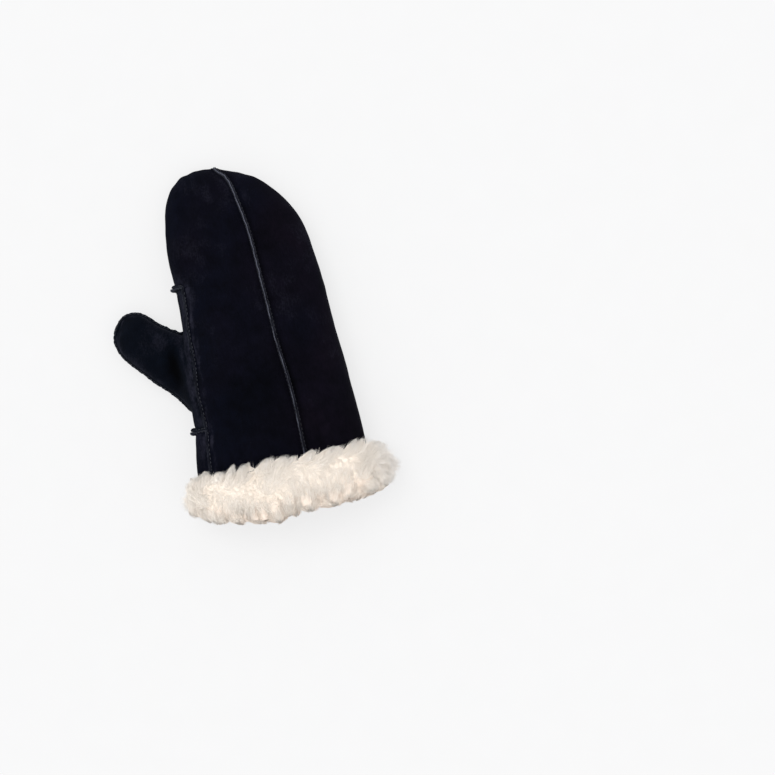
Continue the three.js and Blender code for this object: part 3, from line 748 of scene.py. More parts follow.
@dataclass
class SuedeShell:
    """The suede itself: one smooth shell, shaped, creased and parted into its panels."""

    hand: HandForm
    thumb: ThumbForm
    voxel: float = 1.35
    leather: float = 2.0
    fullness: float = 0.8
    tip_fullness: float = 0.2
    seam_step: float = 0.8
    seam_height: float = 2.9
    side_seam_height: float = 2.0
    thumb_seam_height: float = 2.0
    tab_length: float = 1.7
    tab_turn: float = 4.0
    tab_reach: float = 4.4
    floor_gap: float = 0.25
    lip_clearance: float = 0.7
    swells: tuple[Wave, ...] = (Wave(0.55, 46.0, 11), Wave(0.22, 17.0, 12))
    cuff_folds: Wave = Wave(0.2, 12.0, 13)
    tip_gathers: Wave = Wave(0.3, 11.0, 14)
    thumb_creases: Wave = Wave(0.28, 10.0, 15)
    clouds: tuple[Wave, ...] = (Wave(0.05, 66.0, 51), Wave(0.02, 27.0, 52))
    hollow: Patch = Patch(0.450, -0.599, 5.6, 22.0)
    hollow_depth: float = 3.4
    ridge: Patch = Patch(0.440, -0.522, 4.6, 32.0)
    ridge_height: float = 1.2
    thumb_rub: Patch = Patch(0.545, -0.630, 7.0, 9.0)
    dark_patch: Patch = Patch(0.25, 0.04, 48.0, 66.0)
    pale_patch: Patch = Patch(0.62, 0.33, 24.0, 34.0)
    thumb_bend: tuple[float, float] = (0.455, -0.555)
    # How far the fingertip stands out, where across the hand and how wide
    tip_shape: tuple[tuple[float, float, float], ...] = (
        (0.9, -5.0, 4.0), (-1.7, 8.0, 8.0), (-0.5, -18.0, 8.0),
    )
    pucker_pitch: float = 5.6
    pleat_depth: float = 0.15
    snap: float = 1.6
    points: np.ndarray = field(init=False)
    wear_and_shading: np.ndarray = field(init=False)
    faces: np.ndarray = field(init=False)
    seams: list[SeamLine] = field(init=False, default_factory=list)

    def build(self, shop: Workshop) -> None:
        """Shape the shell, lay its seams and press them in.

        Args:
            shop: Makes the mesh that is evened out on the way.
        """
        self.points, self.faces = self.joined_forms(shop)
        edges = edges_of(self.faces)
        self.points = relaxed(self.points, edges, [0.55, -0.57] * 9 + [0.5] * 4)
        self.open_mouth()
        self.press_forms()
        self.lay_seams()
        self.press_seams()
        self.seat_seams()

    def joined_forms(self, shop: Workshop) -> tuple[np.ndarray, np.ndarray]:
        """Join the hand and the thumb into one even mesh.

        Args:
            shop: Makes the mesh that is evened out.

        Returns:
            The joined mesh's points and four-cornered faces.
        """
        rows = self.hand.length * (1.0 - np.cos(np.linspace(0.0, math.pi, 150))) / 2.0
        rows = np.concatenate([[-9.0, -4.0], rows])
        angles = np.linspace(0.0, math.tau, 180, endpoint=False)
        y, turn = np.meshgrid(rows, angles, indexing="ij")
        hand = self.hand.point(np.maximum(y, 0.0), turn)
        hand[..., 1] += np.minimum(y, 0.0)
        along, turn = np.meshgrid(np.linspace(0.0, 1.0, 80) ** 0.8, angles, indexing="ij")
        thumb = self.thumb.point(along, turn)
        points, faces = [], []
        for grid in (hand, thumb):
            start = sum(len(p) for p in points)
            ids = start + np.arange(grid.shape[0] * grid.shape[1]).reshape(grid.shape[:2])
            ends = np.stack([grid[0].mean(axis=0), grid[-1].mean(axis=0)])
            first = np.full(ids.shape[1], start + ids.size)
            caps = [
                np.stack([first, np.roll(ids[0], -1), ids[0]], axis=1),
                np.stack([first + 1, ids[-1], np.roll(ids[-1], -1)], axis=1),
            ]
            faces += [triangles(lofted(ids)), *caps]
            points += [grid.reshape(-1, 3), ends]
        mesh = shop.mesh("joined_forms", np.concatenate(points), np.concatenate(faces))
        blank = bpy.data.objects.new("joined_forms", mesh)
        bpy.context.scene.collection.objects.link(blank)
        remesh = blank.modifiers.new("even", "REMESH")
        remesh.mode = "VOXEL"
        remesh.voxel_size = self.voxel * METRE
        made = blank.evaluated_get(bpy.context.evaluated_depsgraph_get()).to_mesh()
        co = np.empty(len(made.vertices) * 3, dtype=np.float32)
        made.vertices.foreach_get("co", co)
        corners = np.empty(len(made.loops), dtype=np.int32)
        made.loops.foreach_get("vertex_index", corners)
        found = (co.reshape(-1, 3).astype(float) - shop.origin) / METRE
        bpy.data.objects.remove(blank)
        bpy.data.meshes.remove(mesh)
        return found, corners.reshape(-1, 4)

    def open_mouth(self) -> None:
        """Cut the mouth open and drop what lies in front of it."""
        kept = self.faces[self.points[self.faces][:, :, 1].mean(axis=1) > 4.0]
        used, corners = np.unique(kept, return_inverse=True)
        self.points, self.faces = self.points[used], corners.reshape(kept.shape)

    def settle(self, moved: np.ndarray) -> None:
        """Take up moved points, held off the floor where they were off it."""
        moved[:, 2] = np.maximum(moved[:, 2], np.minimum(self.points[:, 2], self.floor_gap))
        self.points = moved

    def press_forms(self) -> None:
        """Give the skin its soft hollows, swells and folds."""
        points = self.points
        normals = point_normals(points, self.faces)
        plan = points[:, :2]
        level = np.abs(normals[:, 2])
        back = np.clip(normals[:, 2], 0.0, 1.0)
        tip = ramp(points[:, 1], 0.86 * self.hand.length, self.hand.length)
        near_cuff = 1.0 - ramp(points[:, 1], 36.0, 96.0)
        lift = sum(wave.over(points) for wave in self.swells)
        lift *= 0.35 + 0.65 * ramp(level, 0.2, 0.7)
        full = self.fullness + self.tip_fullness * tip + self.tip_peak(plan)
        lift += full * (1.0 - ramp(level, 0.3, 0.9))

        hollow = self.spot(self.hollow) * back
        ridge = self.spot(self.ridge) * back
        # Colour mark: paler on the ridge as rubbed nap and a painted highlight, darker in the
        # hollow as painted shade, and paler on the thumb's rubbed patch.
        self.wear_and_shading = 0.34 * ridge - 0.36 * hollow + 0.14 * self.spot(self.thumb_rub) * back
        lift += self.ridge_height * ridge - self.hollow_depth * hollow

        lift += self.cuff_folds.over(plan / [1.0, 7.0]) * near_cuff * back
        lift += self.tip_gathers.over(plan / [1.0, 5.0]) * tip
        lie = plan - self.hand.plan(self.thumb_bend)
        along, across = lie @ self.thumb.direction, lie @ self.thumb.fore
        bend = bell(along - 12.0, 22.0) * bell(across, 30.0)
        creased = np.stack([along, across / 6.0], axis=1)
        lift += self.thumb_creases.over(creased) * bend * back
        moved = points + normals * lift[:, None]
        front, _ = FleeceCuff(self.hand, Wool()).edges(points[:, 0])
        near_mouth = np.clip(1.0 - points[:, 1] / 30.0, 0.0, 1.0)
        moved[:, 1] += np.maximum(front + 6.5, 0.0) * near_mouth
        self.settle(moved)

    def tip_peak(self, plan: np.ndarray) -> np.ndarray:
        """Work out how the seam's end pulls the fingertip to a peak."""
        near = ramp(plan[:, 1], 0.95 * self.hand.length, 0.99 * self.hand.length)
        return near * sum(rise * bell(plan[:, 0] - at, wide) for rise, at, wide in self.tip_shape)

    def spot(self, patch: Patch) -> np.ndarray:
        """Return, for each point, 1 in the middle of a patch and 0 far from it."""
        lie = self.points[:, :2] - self.hand.plan((patch.along, patch.across))
        return bell(lie[:, 0], patch.wide) * bell(lie[:, 1], patch.long)

    def in_plan(self, shares: list[tuple[float, float]]) -> np.ndarray:
        """Return a smooth path in plan through places given in shares of the hand."""
        return smooth_path(np.array([self.hand.plan(place) for place in shares]), self.seam_step)

    def lay_seams(self) -> None:
        """Find where every seam runs on the shaped surface."""
        surface = Surface(self.points, self.faces)
        plan = self.hand.plan
        lower, upper = plan(LOWER_TAB), plan(UPPER_TAB)
        centre, side = self.in_plan(CENTRE_SEAM), self.in_plan(SIDE_SEAM)
        v_outer, v_inner = self.in_plan(PALM_V_OUTER), self.in_plan(PALM_V_INNER)
        heel = self.in_plan(PALM_HEEL)
        at_heel = int(np.argmin(np.abs(side[:, 1] - lower[1])))

        tip = self.hand.length
        over_tip = np.array([[-3.0, tip + 1.0, 16.0], [-3.8, tip + 3.0, 8.0]])
        # The centre seam's left lip is painted pale as lit, and its right lip dark as shaded.
        self.add_plan_seam(
            "centre_seam", centre, surface, Panel.BACK, Panel.PALM, (1.3, 0.2), over_tip
        )
        self.add_plan_seam(
            "side_seam_cuff", side[:at_heel + 1], surface, Panel.PALM, Panel.BACK, (0.30, 0.24)
        )
        self.add_plan_seam(
            "side_seam_thumb", side[at_heel:], surface, Panel.THUMB, Panel.BACK, (0.30, 0.24)
        )
        to_crotch = smooth_path(np.stack([v_inner[-1], plan(CROTCH_NOTCH)]), self.seam_step)
        to_edge = smooth_path(np.stack([heel[-1], plan(HEEL_NOTCH)]), self.seam_step)
        v_path = np.concatenate([v_outer, v_inner[1:]])
        self.add_palm_seam("palm_v_seam", v_path, to_crotch, surface, Panel.PALM, Panel.THUMB)
        self.add_palm_seam("palm_heel_seam", heel, to_edge, surface, Panel.THUMB, Panel.PALM)
        self.add_tab("lower_tab", lower, side[at_heel], heel[0], surface)
        self.add_tab("upper_tab", upper, side[-1], v_outer[0], surface)
        self.add_thumb_seam(surface)

    def add_plan_seam(
        self,
        name: str,
        path: np.ndarray,
        surface: Surface,
        left: Panel,
        right: Panel,
        raw_and_lit: tuple[float, float],
        tail: np.ndarray | None = None,
    ) -> None:
        """Lay a seam that is given in plan on the back of the mitten.

        Args:
            name: The seam's name.
            path: Its places in plan.
            surface: The surface that it lies on.
            left: The panel on its left.
            right: The panel on its right.
            raw_and_lit: How pale its left and right lips are: the cut edge's own paleness, with
                painted light on the lit side.
            tail: Places that it goes on to past the path's end, or None for a side seam.
        """
        points, normals = surface.dropped(path, Face.BACK)
        height, light = np.full(len(points), self.side_seam_height), 1.0
        if tail is not None:
            rough = np.concatenate([points[:-6:5], surface.nearest(tail)[0]])
            points, normals = surface.nearest(smooth_path(rough, self.seam_step))
            over_tip = ramp(points[:, 1], 0.955 * self.hand.length, 0.99 * self.hand.length)
            height, light = self.seam_height * (1.0 - 0.62 * over_tip), 0.15
        self.seams.append(SeamLine(
            name, softened(points, 3), unit(softened(normals, 12)), left, right, height, raw_and_lit, light
        ))

    def add_palm_seam(
        self,
        name: str,
        path: np.ndarray,
        onward: np.ndarray,
        surface: Surface,
        left: Panel,
        right: Panel,
    ) -> None:
        """Lay a palm seam and carry it on up to the thumb's seam.

        Args:
            name: The seam's name.
            path: Its places in plan.
            onward: Places in plan past its end, where it climbs the thumb's underside.
            surface: The surface that it lies on.
            left: The panel on its left.
            right: The panel on its right.
        """
        points, normals = surface.dropped(np.concatenate([path, onward[1:]]), Face.PALM)
        over = np.nonzero(points[:, 2] > self.thumb.seam_height - 1.0)[0]
        end = int(over[0]) if len(over) else len(points)
        points, normals = points[:end], normals[:end]
        height = softened(np.minimum(self.seam_height, self.room_below(points)), 6)
        self.seams.append(SeamLine(
            name, softened(points, 3), unit(softened(normals, 12)), left, right, height,
            (0.4, 0.4),
        ))

    def room_below(self, points: np.ndarray) -> np.ndarray:
        """Return how tall a lip may be at points on the palm side and stay off the floor."""
        return np.maximum(points[:, 2] - self.lip_clearance, 0.8)

    def add_tab(
        self, name: str, tab: np.ndarray, back: np.ndarray, palm: np.ndarray, surface: Surface
    ) -> None:
        """Lay the seam that runs round the thumb edge and pokes out there as a tab.

        Args:
            name: The seam's name.
            tab: The tab's place in plan.
            back: Where it starts on the back, in plan.
            palm: Where it ends on the palm, in plan.
            surface: The surface that it lies on.
        """
        cut = self.hand.section(np.array(tab[1]))
        edge_x = float(cut.middle - cut.half)
        turn_x = tab[0] + self.tab_turn

        def y_at(x: np.ndarray, end: np.ndarray) -> np.ndarray:
            """Return where the seam lies along the hand on its way to one end."""
            return tab[1] + (end[1] - tab[1]) * np.clip((x - turn_x) / (end[0] - turn_x), 0, 1)

        shares = np.linspace(0.0, 1.0, 60)
        rough = []
        for end, steps, face in ((back, shares, Face.BACK), (palm, shares[::-1], Face.PALM)):
            x = end[0] + (edge_x - end[0]) * steps
            y = y_at(x, end)
            rough.append(np.stack([x, y, self.hand.surface_height(x, y, face)], axis=1))
        path = smooth_path(np.concatenate(rough), self.seam_step)
        points, normals = surface.nearest(path)
        points[:, 1] = path[:, 1]
        normals[:, 1] = 0.16
        normals = unit(normals)
        from_edge = np.abs(points[:, 2] - float(cut.edge)) + np.abs(points[:, 0] - edge_x)
        middle = int(np.argmin(from_edge))
        steps = np.arange(len(points))
        swell = bell((steps - middle) * self.seam_step, self.tab_reach)
        height = 0.9 + (self.side_seam_height + self.tab_length) * swell
        below = np.minimum(height, self.room_below(points))
        height = softened(np.where(steps > middle, below, height), 3)
        if name == "lower_tab":
            left, right, first = Panel.PALM, Panel.THUMB, None
        else:
            left, right, first = Panel.THUMB, Panel.PALM, Panel.BACK
        self.seams.append(SeamLine(
            name, softened(points, 4), unit(softened(normals, 8)), left, right, height,
            (0.42, 0.22), 0.5, softened(swell, 3), middle, first,
        ))

    def add_thumb_seam(self, surface: Surface) -> None:
        """Lay the seam that runs level round the thumb.

        Args:
            surface: The surface that it lies on.
        """
        aft = np.linspace(0.1, 0.985, 90)
        fore = np.linspace(0.985, 0.40, 60)
        path = np.concatenate([
            self.thumb.outline(aft, -1, 3.0),
            self.thumb.outline(np.array([1.0]), 0, 3.0),
            self.thumb.outline(fore, 1, 3.0),
        ])
        level = np.full((len(path), 1), self.thumb.seam_height)
        path = smooth_path(np.concatenate([path, level], axis=1), self.seam_step)
        points, normals = surface.nearest(path)
        hand_side = self.hand.section(points[:, 1])
        out = points[:, 0] < hand_side.middle - hand_side.half + 1.5
        kept = np.nonzero(out)[0]
        run = slice(int(kept[0]), int(kept[-1]) + 1)
        points, normals = points[run], normals[run]
        points[:, 2] = self.thumb.seam_height
        normals[:, 2] *= 0.3
        heel_end = np.arange(len(points)) * self.seam_step
        crotch_end = heel_end[::-1]
        height = self.thumb_seam_height * (0.25 + 0.75 * ramp(heel_end, 0.0, 9.0))
        height *= 0.10 + 0.90 * ramp(crotch_end, 2.0, 13.0)
        self.seams.append(SeamLine(
            "thumb_seam", softened(points, 3), unit(softened(unit(normals), 12)), Panel.PALM,
            Panel.THUMB, height, (0.3, 0.45), 0.8,
        ))

    def press_seams(self) -> None:
        """Draw the skin in along the seams, with a pucker at every few stitches."""
        every = np.concatenate([seam.points for seam in self.seams])
        owner = np.repeat(np.arange(len(self.seams)), [len(seam.points) for seam in self.seams])
        tree = search_tree(every)
        found = [tree.find(Vector(place)) for place in self.points]
        far = np.array([hit[2] for hit in found])
        step = np.array([hit[1] for hit in found])
        reach = np.concatenate([
            seam.reach() + 1000.0 * number for number, seam in enumerate(self.seams)
        ])[step]
        sides = np.concatenate([seam.sides() for seam in self.seams])[step]
        right = ((self.points - every[step]) * sides).sum(axis=1) > 0.0
        light = np.array([seam.light for seam in self.seams])[owner[step]]
        on_thumb = owner[step] == len(self.seams) - 1
        normals = point_normals(self.points, self.faces)
        dip = np.where(on_thumb, -0.3, -1.0) * bell(far, 5.0)
        uneven = waves(np.stack([reach, np.zeros_like(reach)], axis=1), 9.0, 21)
        pucker = np.sin(math.tau * reach / self.pucker_pitch + 1.5 * uneven)
        pleat = self.pleat_depth * pucker * bell(far - 3.4, 3.2) * (0.6 + 0.4 * uneven)
        lift = (dip + pleat) * ramp(self.points[:, 2], 0.2, 3.0)
        self.settle(self.points + normals * lift[:, None])
        self.rubbing_and_shading(far, light, right)

    def rubbing_and_shading(self, far: np.ndarray, light: np.ndarray, right: np.ndarray) -> None:
        """Work out where the nap is rubbed pale, where painted highlight and sheen lighten it and
        where painted shade darkens it.

        Args:
            far: Each point's distance from the nearest seam.
            light: The seam's light share: how strong its thread's painted highlight is and how
                pale the band beside it is rubbed.
            right: Whether the point lies at the seam's right.
        """
        points = self.points
        normals = point_normals(points, self.faces)
        flat = relaxed(points, edges_of(self.faces), [0.5] * 12)
        # Convex places turn paler, as rubbed nap and a painted highlight; concave places turn
        # darker, as painted shade.
        relief = np.clip(((points - flat) * normals).sum(axis=1) / 1.8, -0.1, 0.04)
        cloudy = sum(wave.over(points) for wave in self.clouds)
        streak = 0.02 * waves(points * [1.0, 0.25, 1.0], 13.0, 53)
        beside = (0.02 + 0.19 * light) * bell(far - 3.0, 4.6)
        beside *= 1.0 + 0.45 * waves(points * [1.0, 0.3, 1.0], 5.0, 54)
        # Painted shade in the crease along each seam, and a painted shadow on the centre seam's
        # right, away from the light.
        seam_shade = -0.08 * bell(far, 1.4)
        seam_shade -= 0.2 * (right & (light < 0.2)) * bell(far - 2.0, 2.4)
        patches = 0.1 * self.spot(self.pale_patch) - 0.2 * self.spot(self.dark_patch)
        # Painted sheen: paler where the surface turns steep.
        rim = 0.06 * (1.0 - np.abs(normals[:, 2])) ** 2
        wear_and_shading = 0.5 + relief + cloudy + streak + beside + seam_shade + patches + rim + self.wear_and_shading
        self.wear_and_shading = np.clip(wear_and_shading, 0.0, 1.0)

    def seat_seams(self) -> None:
        """Bring the seams down onto the pressed surface."""
        surface = Surface(self.points, self.faces)
        for seam in self.seams:
            points, _ = surface.nearest(seam.points)
            seam.points = softened(points, 3)

    def regions(self, places: np.ndarray) -> np.ndarray:
        """Tell which panel each place belongs to.

        Args:
            places: Places on the skin.

        Returns:
            0 for the palm panel, 1 for the back panel and 2 for the thumb's.
        """
        plan = self.hand.plan
        far = -4.0 * self.hand.width
        at = {seam.name: seam.points[:, :2] for seam in self.seams}
        lower, upper = plan(LOWER_TAB), plan(UPPER_TAB)
        low_turn = lower + [self.tab_turn, 0.0]
        up_turn = upper + [self.tab_turn, 0.0]
        centre = at["centre_seam"]
        centre = np.concatenate([[[centre[0, 0], -40.0]], centre, [centre[-1] + [-4.0, 40.0]]])
        side = np.concatenate([at["side_seam_cuff"], at["side_seam_thumb"][1:]])
        side = np.concatenate([[[side[0, 0], -40.0]], side])
        back_plan = np.concatenate([
            centre, [[far, centre[-1, 1]], [far, upper[1]], up_turn], side[::-1],
        ])
        gusset_plan = np.concatenate([
            at["side_seam_thumb"], [up_turn, [far, upper[1]], [far, lower[1]], low_turn],
        ])
        tongues = [
            np.concatenate([at[name], [notch, [far, notch[1]], [far, end[1]], turn]])
            for name, notch, end, turn in (
                ("palm_v_seam", plan(CROTCH_NOTCH), upper, up_turn),
                ("palm_heel_seam", plan(HEEL_NOTCH), lower, low_turn),
            )
        ]
        flat = places[:, :2]
        high = places[:, 2] > self.thumb.seam_height
        back = inside(flat, back_plan) & (places[:, 2] > self.hand.section(places[:, 1]).edge)
        in_tongue = inside(flat, tongues[0]) | inside(flat, tongues[1])
        gusset = np.where(high, inside(flat, gusset_plan), in_tongue)
        return np.where(back, 1, np.where(gusset, 2, 0))

    def panels(self) -> dict[Panel, tuple[np.ndarray, np.ndarray, np.ndarray]]:
        """Part the shell into its panels and give each the leather's thickness.

        Returns:
            Points, triangles and the colour mark of wear and of painted light and shade at each
            point, for each panel.
        """
        points = self.points.copy()
        region = self.tidied(self.regions(points[self.faces].mean(axis=1)))
        low = np.full(len(points), len(Panel))
        high = np.full(len(points), -1)
        for k in range(self.faces.shape[1]):
            np.minimum.at(low, self.faces[:, k], region)
            np.maximum.at(high, self.faces[:, k], region)
        tree = search_tree(np.concatenate([seam.points for seam in self.seams]))
        for i in np.nonzero(low != high)[0]:
            near, _, far = tree.find(Vector(points[i]))
            if far < self.snap:
                points[i] = near[:]
        normals = point_normals(points, self.faces)
        parts = {}
        for number, panel in enumerate(Panel):
            own = self.faces[region == number]
            used, corners = np.unique(own, return_inverse=True)
            corners = corners.reshape(own.shape)
            solid = self.thickened(points[used], normals[used], corners)
            parts[panel] = (*solid, np.tile(self.wear_and_shading[used], 2))
        return parts

    def tidied(self, region: np.ndarray) -> np.ndarray:
        """Give small stray patches of faces to the panel round them.

        Args:
            region: The panel number of each face.

        Returns:
            The panel numbers without strays.
        """
        owner = np.repeat(np.arange(len(self.faces)), self.faces.shape[1])
        keys = np.sort(sides_of(self.faces), axis=1)
        order = np.lexsort((keys[:, 1], keys[:, 0]))
        keys, owner = keys[order], owner[order]
        same = np.nonzero((keys[1:] == keys[:-1]).all(axis=1))[0]
        pairs = np.stack([owner[same], owner[same + 1]], axis=1)
        for _ in range(8):
            votes = np.zeros((len(self.faces), len(Panel)))
            np.add.at(votes, (pairs[:, 0], region[pairs[:, 1]]), 1.0)
            np.add.at(votes, (pairs[:, 1], region[pairs[:, 0]]), 1.0)
            best = votes.argmax(axis=1)
            lone = votes[np.arange(len(region)), region] <= 1.0
            region = np.where(lone & (votes.max(axis=1) >= 3.0), best, region)
        return region

    def thickened(
        self, points: np.ndarray, normals: np.ndarray, faces: np.ndarray
    ) -> tuple[np.ndarray, np.ndarray]:
        """Give an open skin the leather's thickness, inward, with a closed rim.

        Args:
            points: The skin's points.
            normals: The outward way at each point.
            faces: The skin's four-cornered faces.

        Returns:
            Points and triangles, the inner face's points after the outer's.
        """
        count = len(points)
        inner = points - normals * self.leather
        sides = sides_of(faces)
        keys = np.sort(sides, axis=1)
        _, first, times = np.unique(keys, axis=0, return_index=True, return_counts=True)
        rim = sides[first[times == 1]]
        wall = np.stack([rim[:, 1], rim[:, 0], rim[:, 0] + count, rim[:, 1] + count], axis=1)
        quads = np.concatenate([faces, faces[:, ::-1] + count, wall])
        return np.concatenate([points, inner]), triangles(quads)


@dataclass
class SeamLips:
    """The raw edges of suede that stand up side by side along every seam."""

    lip: float = 0.82
    gap: float = 0.06
    root: float = 1.3
    bead: float = 3.4
    tab_swell: float = 2.7
    foot: float = 2.1
    floor_gap: float = 0.35
    end_steps: float = 3.0

    def profile(self, height: np.ndarray, splay: np.ndarray, swell: np.ndarray) -> np.ndarray:
        """Return places across one lip, as (across, up, paleness), for each step of the seam; the
        paleness is the cut crest's own and painted light on the outer face.

        Args:
            height: How tall the lip is.
            splay: How far its crest leans out.
            swell: How much thicker and blunter it is than along a plain seam.

        Returns:
            Rows of places for each step.
        """
        one = np.ones_like(height)
        lip = self.lip * (1.0 + self.tab_swell * swell)
        outer = self.gap + lip
        rows = [
            (self.gap * one, -self.root * one, 0.0),
            (self.gap * one, 0.25 * height, 0.1),
            (self.gap + 0.55 * splay, 0.7 * height, 0.5),
            (self.gap + 0.1 + splay, height - 0.16, 1.0),
            (self.gap + 0.5 * lip + splay, height, 1.0),
            (outer - 0.12 + splay - 0.3 * swell, height - 0.14 - 0.9 * swell, 0.9),
            (outer + 0.06 + 0.8 * splay, height - 0.5 - 2.0 * swell, 0.5),
            (outer + 0.45 * splay, 0.5 * height - 0.9 * swell, 0.3),
            (outer + 0.28, 0.24 * height - 0.4 * swell, 0.14),
            (outer + 0.95, 0.10 * one, 0.0),
            (outer + self.foot, -0.05 * one, 0.0),
            (outer + self.foot, -self.root * one, 0.0),
        ]
        return np.stack([
            np.stack([across, up, np.full_like(height, raw_and_lit)], axis=1) for across, up, raw_and_lit in rows
        ], axis=1)

    def strip(
        self, seam: SeamLine, side: int, run: slice, seed: int
    ) -> tuple[np.ndarray, np.ndarray, np.ndarray]:
        """Make one lip over a run of a seam.

        Args:
            seam: The seam.
            side: 1 for the seam's right, -1 for its left.
            run: The steps of the seam that the lip covers.
            seed: Which unevenness to give it.

        Returns:
            Points, triangles and how pale each point is: the cut edge's own paleness and painted
            light on the lit lip.
        """
        base = seam.points[run]
        normals = seam.normals[run]
        sides = seam.sides()[run] * side
        reach = seam.reach()[run]
        line = np.stack([reach, np.full_like(reach, 50.0 * seed)], axis=1)
        beads = np.sin(math.tau * reach / self.bead)
        ragged = 1.0 + 0.07 * waves(line, 7.0, seed) + 0.06 * waves(line, 2.3, seed + 1)
        height = seam.height[run] * (ragged + 0.02 * beads)
        swell = np.zeros_like(height) if seam.swell is None else seam.swell[run]
        splay = np.clip(0.1 + 0.03 * beads + 0.09 * waves(line, 6.0, seed + 2), 0.0, 0.5)
        sway = 0.14 * waves(line * [1.0, 0.0], 11.0, 77) * side
        across, up, raw_and_lit_share = np.moveaxis(self.profile(height, splay, swell), -1, 0)
        steps = np.arange(len(base))
        ends = np.minimum(steps, steps[::-1])
        shrink = np.clip(0.35 + 0.65 * ends / self.end_steps, 0.0, 1.0)
        up = np.where(up > 0.0, up * shrink[:, None], up)
        across = across + np.clip(up / 3.0, 0.0, 1.0) * sway[:, None]
        points = base[:, None] + across[..., None] * sides[:, None]
        points = points + up[..., None] * normals[:, None]
        points[..., 2] = np.maximum(points[..., 2], self.floor_gap)
        count = up.shape[1]
        ids = np.arange(len(base) * count).reshape(len(base), count)
        fans = [
            np.array([[row[0], row[k], row[k + 1]] for k in range(1, count - 1)])
            for row in (ids[0], ids[-1])
        ]
        faces = np.concatenate([triangles(lofted(ids)), fans[0][:, ::-1], fans[1]])
        if side < 0:
            faces = faces[:, ::-1]
        # Each lip's paleness: the cut edge's own, with the lip on the lit side painted paler and
        # the lip on the shaded side painted darker.
        pale = seam.raw_and_lit[0] if side < 0 else seam.raw_and_lit[1]
        upward = 0.50 * ramp(base[:, 1], 100.0, 245.0)
        patchy = 0.50 + upward + 0.2 * waves(line, 17.0, seed + 3) + 0.1 * beads
        raw_and_lit = raw_and_lit_share * pale * np.clip(patchy, 0.2, 1.6)[:, None]
        return points.reshape(-1, 3), faces, raw_and_lit.ravel()

    def build(
        self, seams: list[SeamLine]
    ) -> dict[Panel, list[tuple[np.ndarray, np.ndarray, np.ndarray]]]:
        """Make the lips of every seam.

        Args:
            seams: The seams.

        Returns:
            The strips of lip that are the edge of each panel.
        """
        made: dict[Panel, list] = {panel: [] for panel in Panel}
        for number, seam in enumerate(seams):
            seed = 200 + 10 * number
            whole = slice(0, len(seam.points))
            made[seam.left].append(self.strip(seam, -1, whole, seed))
            if seam.before_switch is None:
                made[seam.right].append(self.strip(seam, 1, whole, seed + 5))
                continue
            first = slice(0, seam.switch + 1)
            rest = slice(seam.switch, len(seam.points))
            made[seam.before_switch].append(self.strip(seam, 1, first, seed + 5))
            made[seam.right].append(self.strip(seam, 1, rest, seed + 6))
        return made


@dataclass
class Stitching:
    """Running stitches of black thread through both lips of every seam."""

    pitch: float = 3.4
    length: float = 2.3
    thread: float = 0.26
    end_gap: float = 1.2
    sunk: float = 0.65
    bulge: float = 0.62
    height_share: float = 0.46
    sides: int = 5

    def build(self, seams: list[SeamLine]) -> tuple[np.ndarray, np.ndarray, np.ndarray]:
        """Make the stitches of every seam.

        Args:
            seams: The seams.

        Returns:
            Points, triangles and how strong the thread's painted highlight is at each point.
        """
        points, faces, light = [], [], []
        start = 0
        for seam in seams:
            for side in (1, -1):
                rings = self.rings(seam, side)
                stitches, steps, count = rings.shape[:3]
                ids = start + np.arange(stitches * steps * count).reshape(stitches, steps, count)
                for grid in ids:
                    faces.append(triangles(lofted(grid)))
                points.append(rings.reshape(-1, 3))
                light.append(np.full(ids.size, seam.light))
                start += ids.size
        return np.concatenate(points), np.concatenate(faces), np.concatenate(light)

    def rings(self, seam: SeamLine, side: int) -> np.ndarray:
        """Work out the rings of points round every stitch on one side of a seam.

        Args:
            seam: The seam.
            side: 1 for the seam's right, -1 for its left.

        Returns:
            Points by stitch, step along it and place round it.
        """
        reach = seam.reach()
        starts = np.arange(self.end_gap, reach[-1] - self.length - self.end_gap, self.pitch)
        starts = starts + 0.4 * waves(np.stack([starts, side + 0.0 * starts], axis=1), 9.0, 81)
        shares = np.linspace(0.0, 1.0, 6)
        at = (starts[:, None] + shares * self.length).ravel()

        def along(values: np.ndarray) -> np.ndarray:
            """Return the seam's values at every step of every stitch."""
            return np.stack([np.interp(at, reach, values[:, k]) for k in range(3)], axis=1)

        base, normals = along(seam.points), unit(along(seam.normals))
        aside = unit(along(seam.sides())) * side
        height = np.interp(at, reach, seam.height)
        bow = np.minimum(1.6 * np.tile(np.sin(math.pi * shares), len(starts)), 1.0)
        out = self.sunk + self.bulge * bow
        up = self.height_share * height
        middle = base + aside * out[:, None] + normals * up[:, None]
        angles = np.arange(self.sides) / self.sides * math.tau
        ring = (
            np.cos(angles)[None, :, None] * aside[:, None]
            + np.sin(angles)[None, :, None] * normals[:, None]
        )
        thin = self.thread * (0.55 + 0.45 * bow)
        rings = middle[:, None] + ring * thin[:, None, None]
        return rings.reshape(len(starts), len(shares), self.sides, 3)


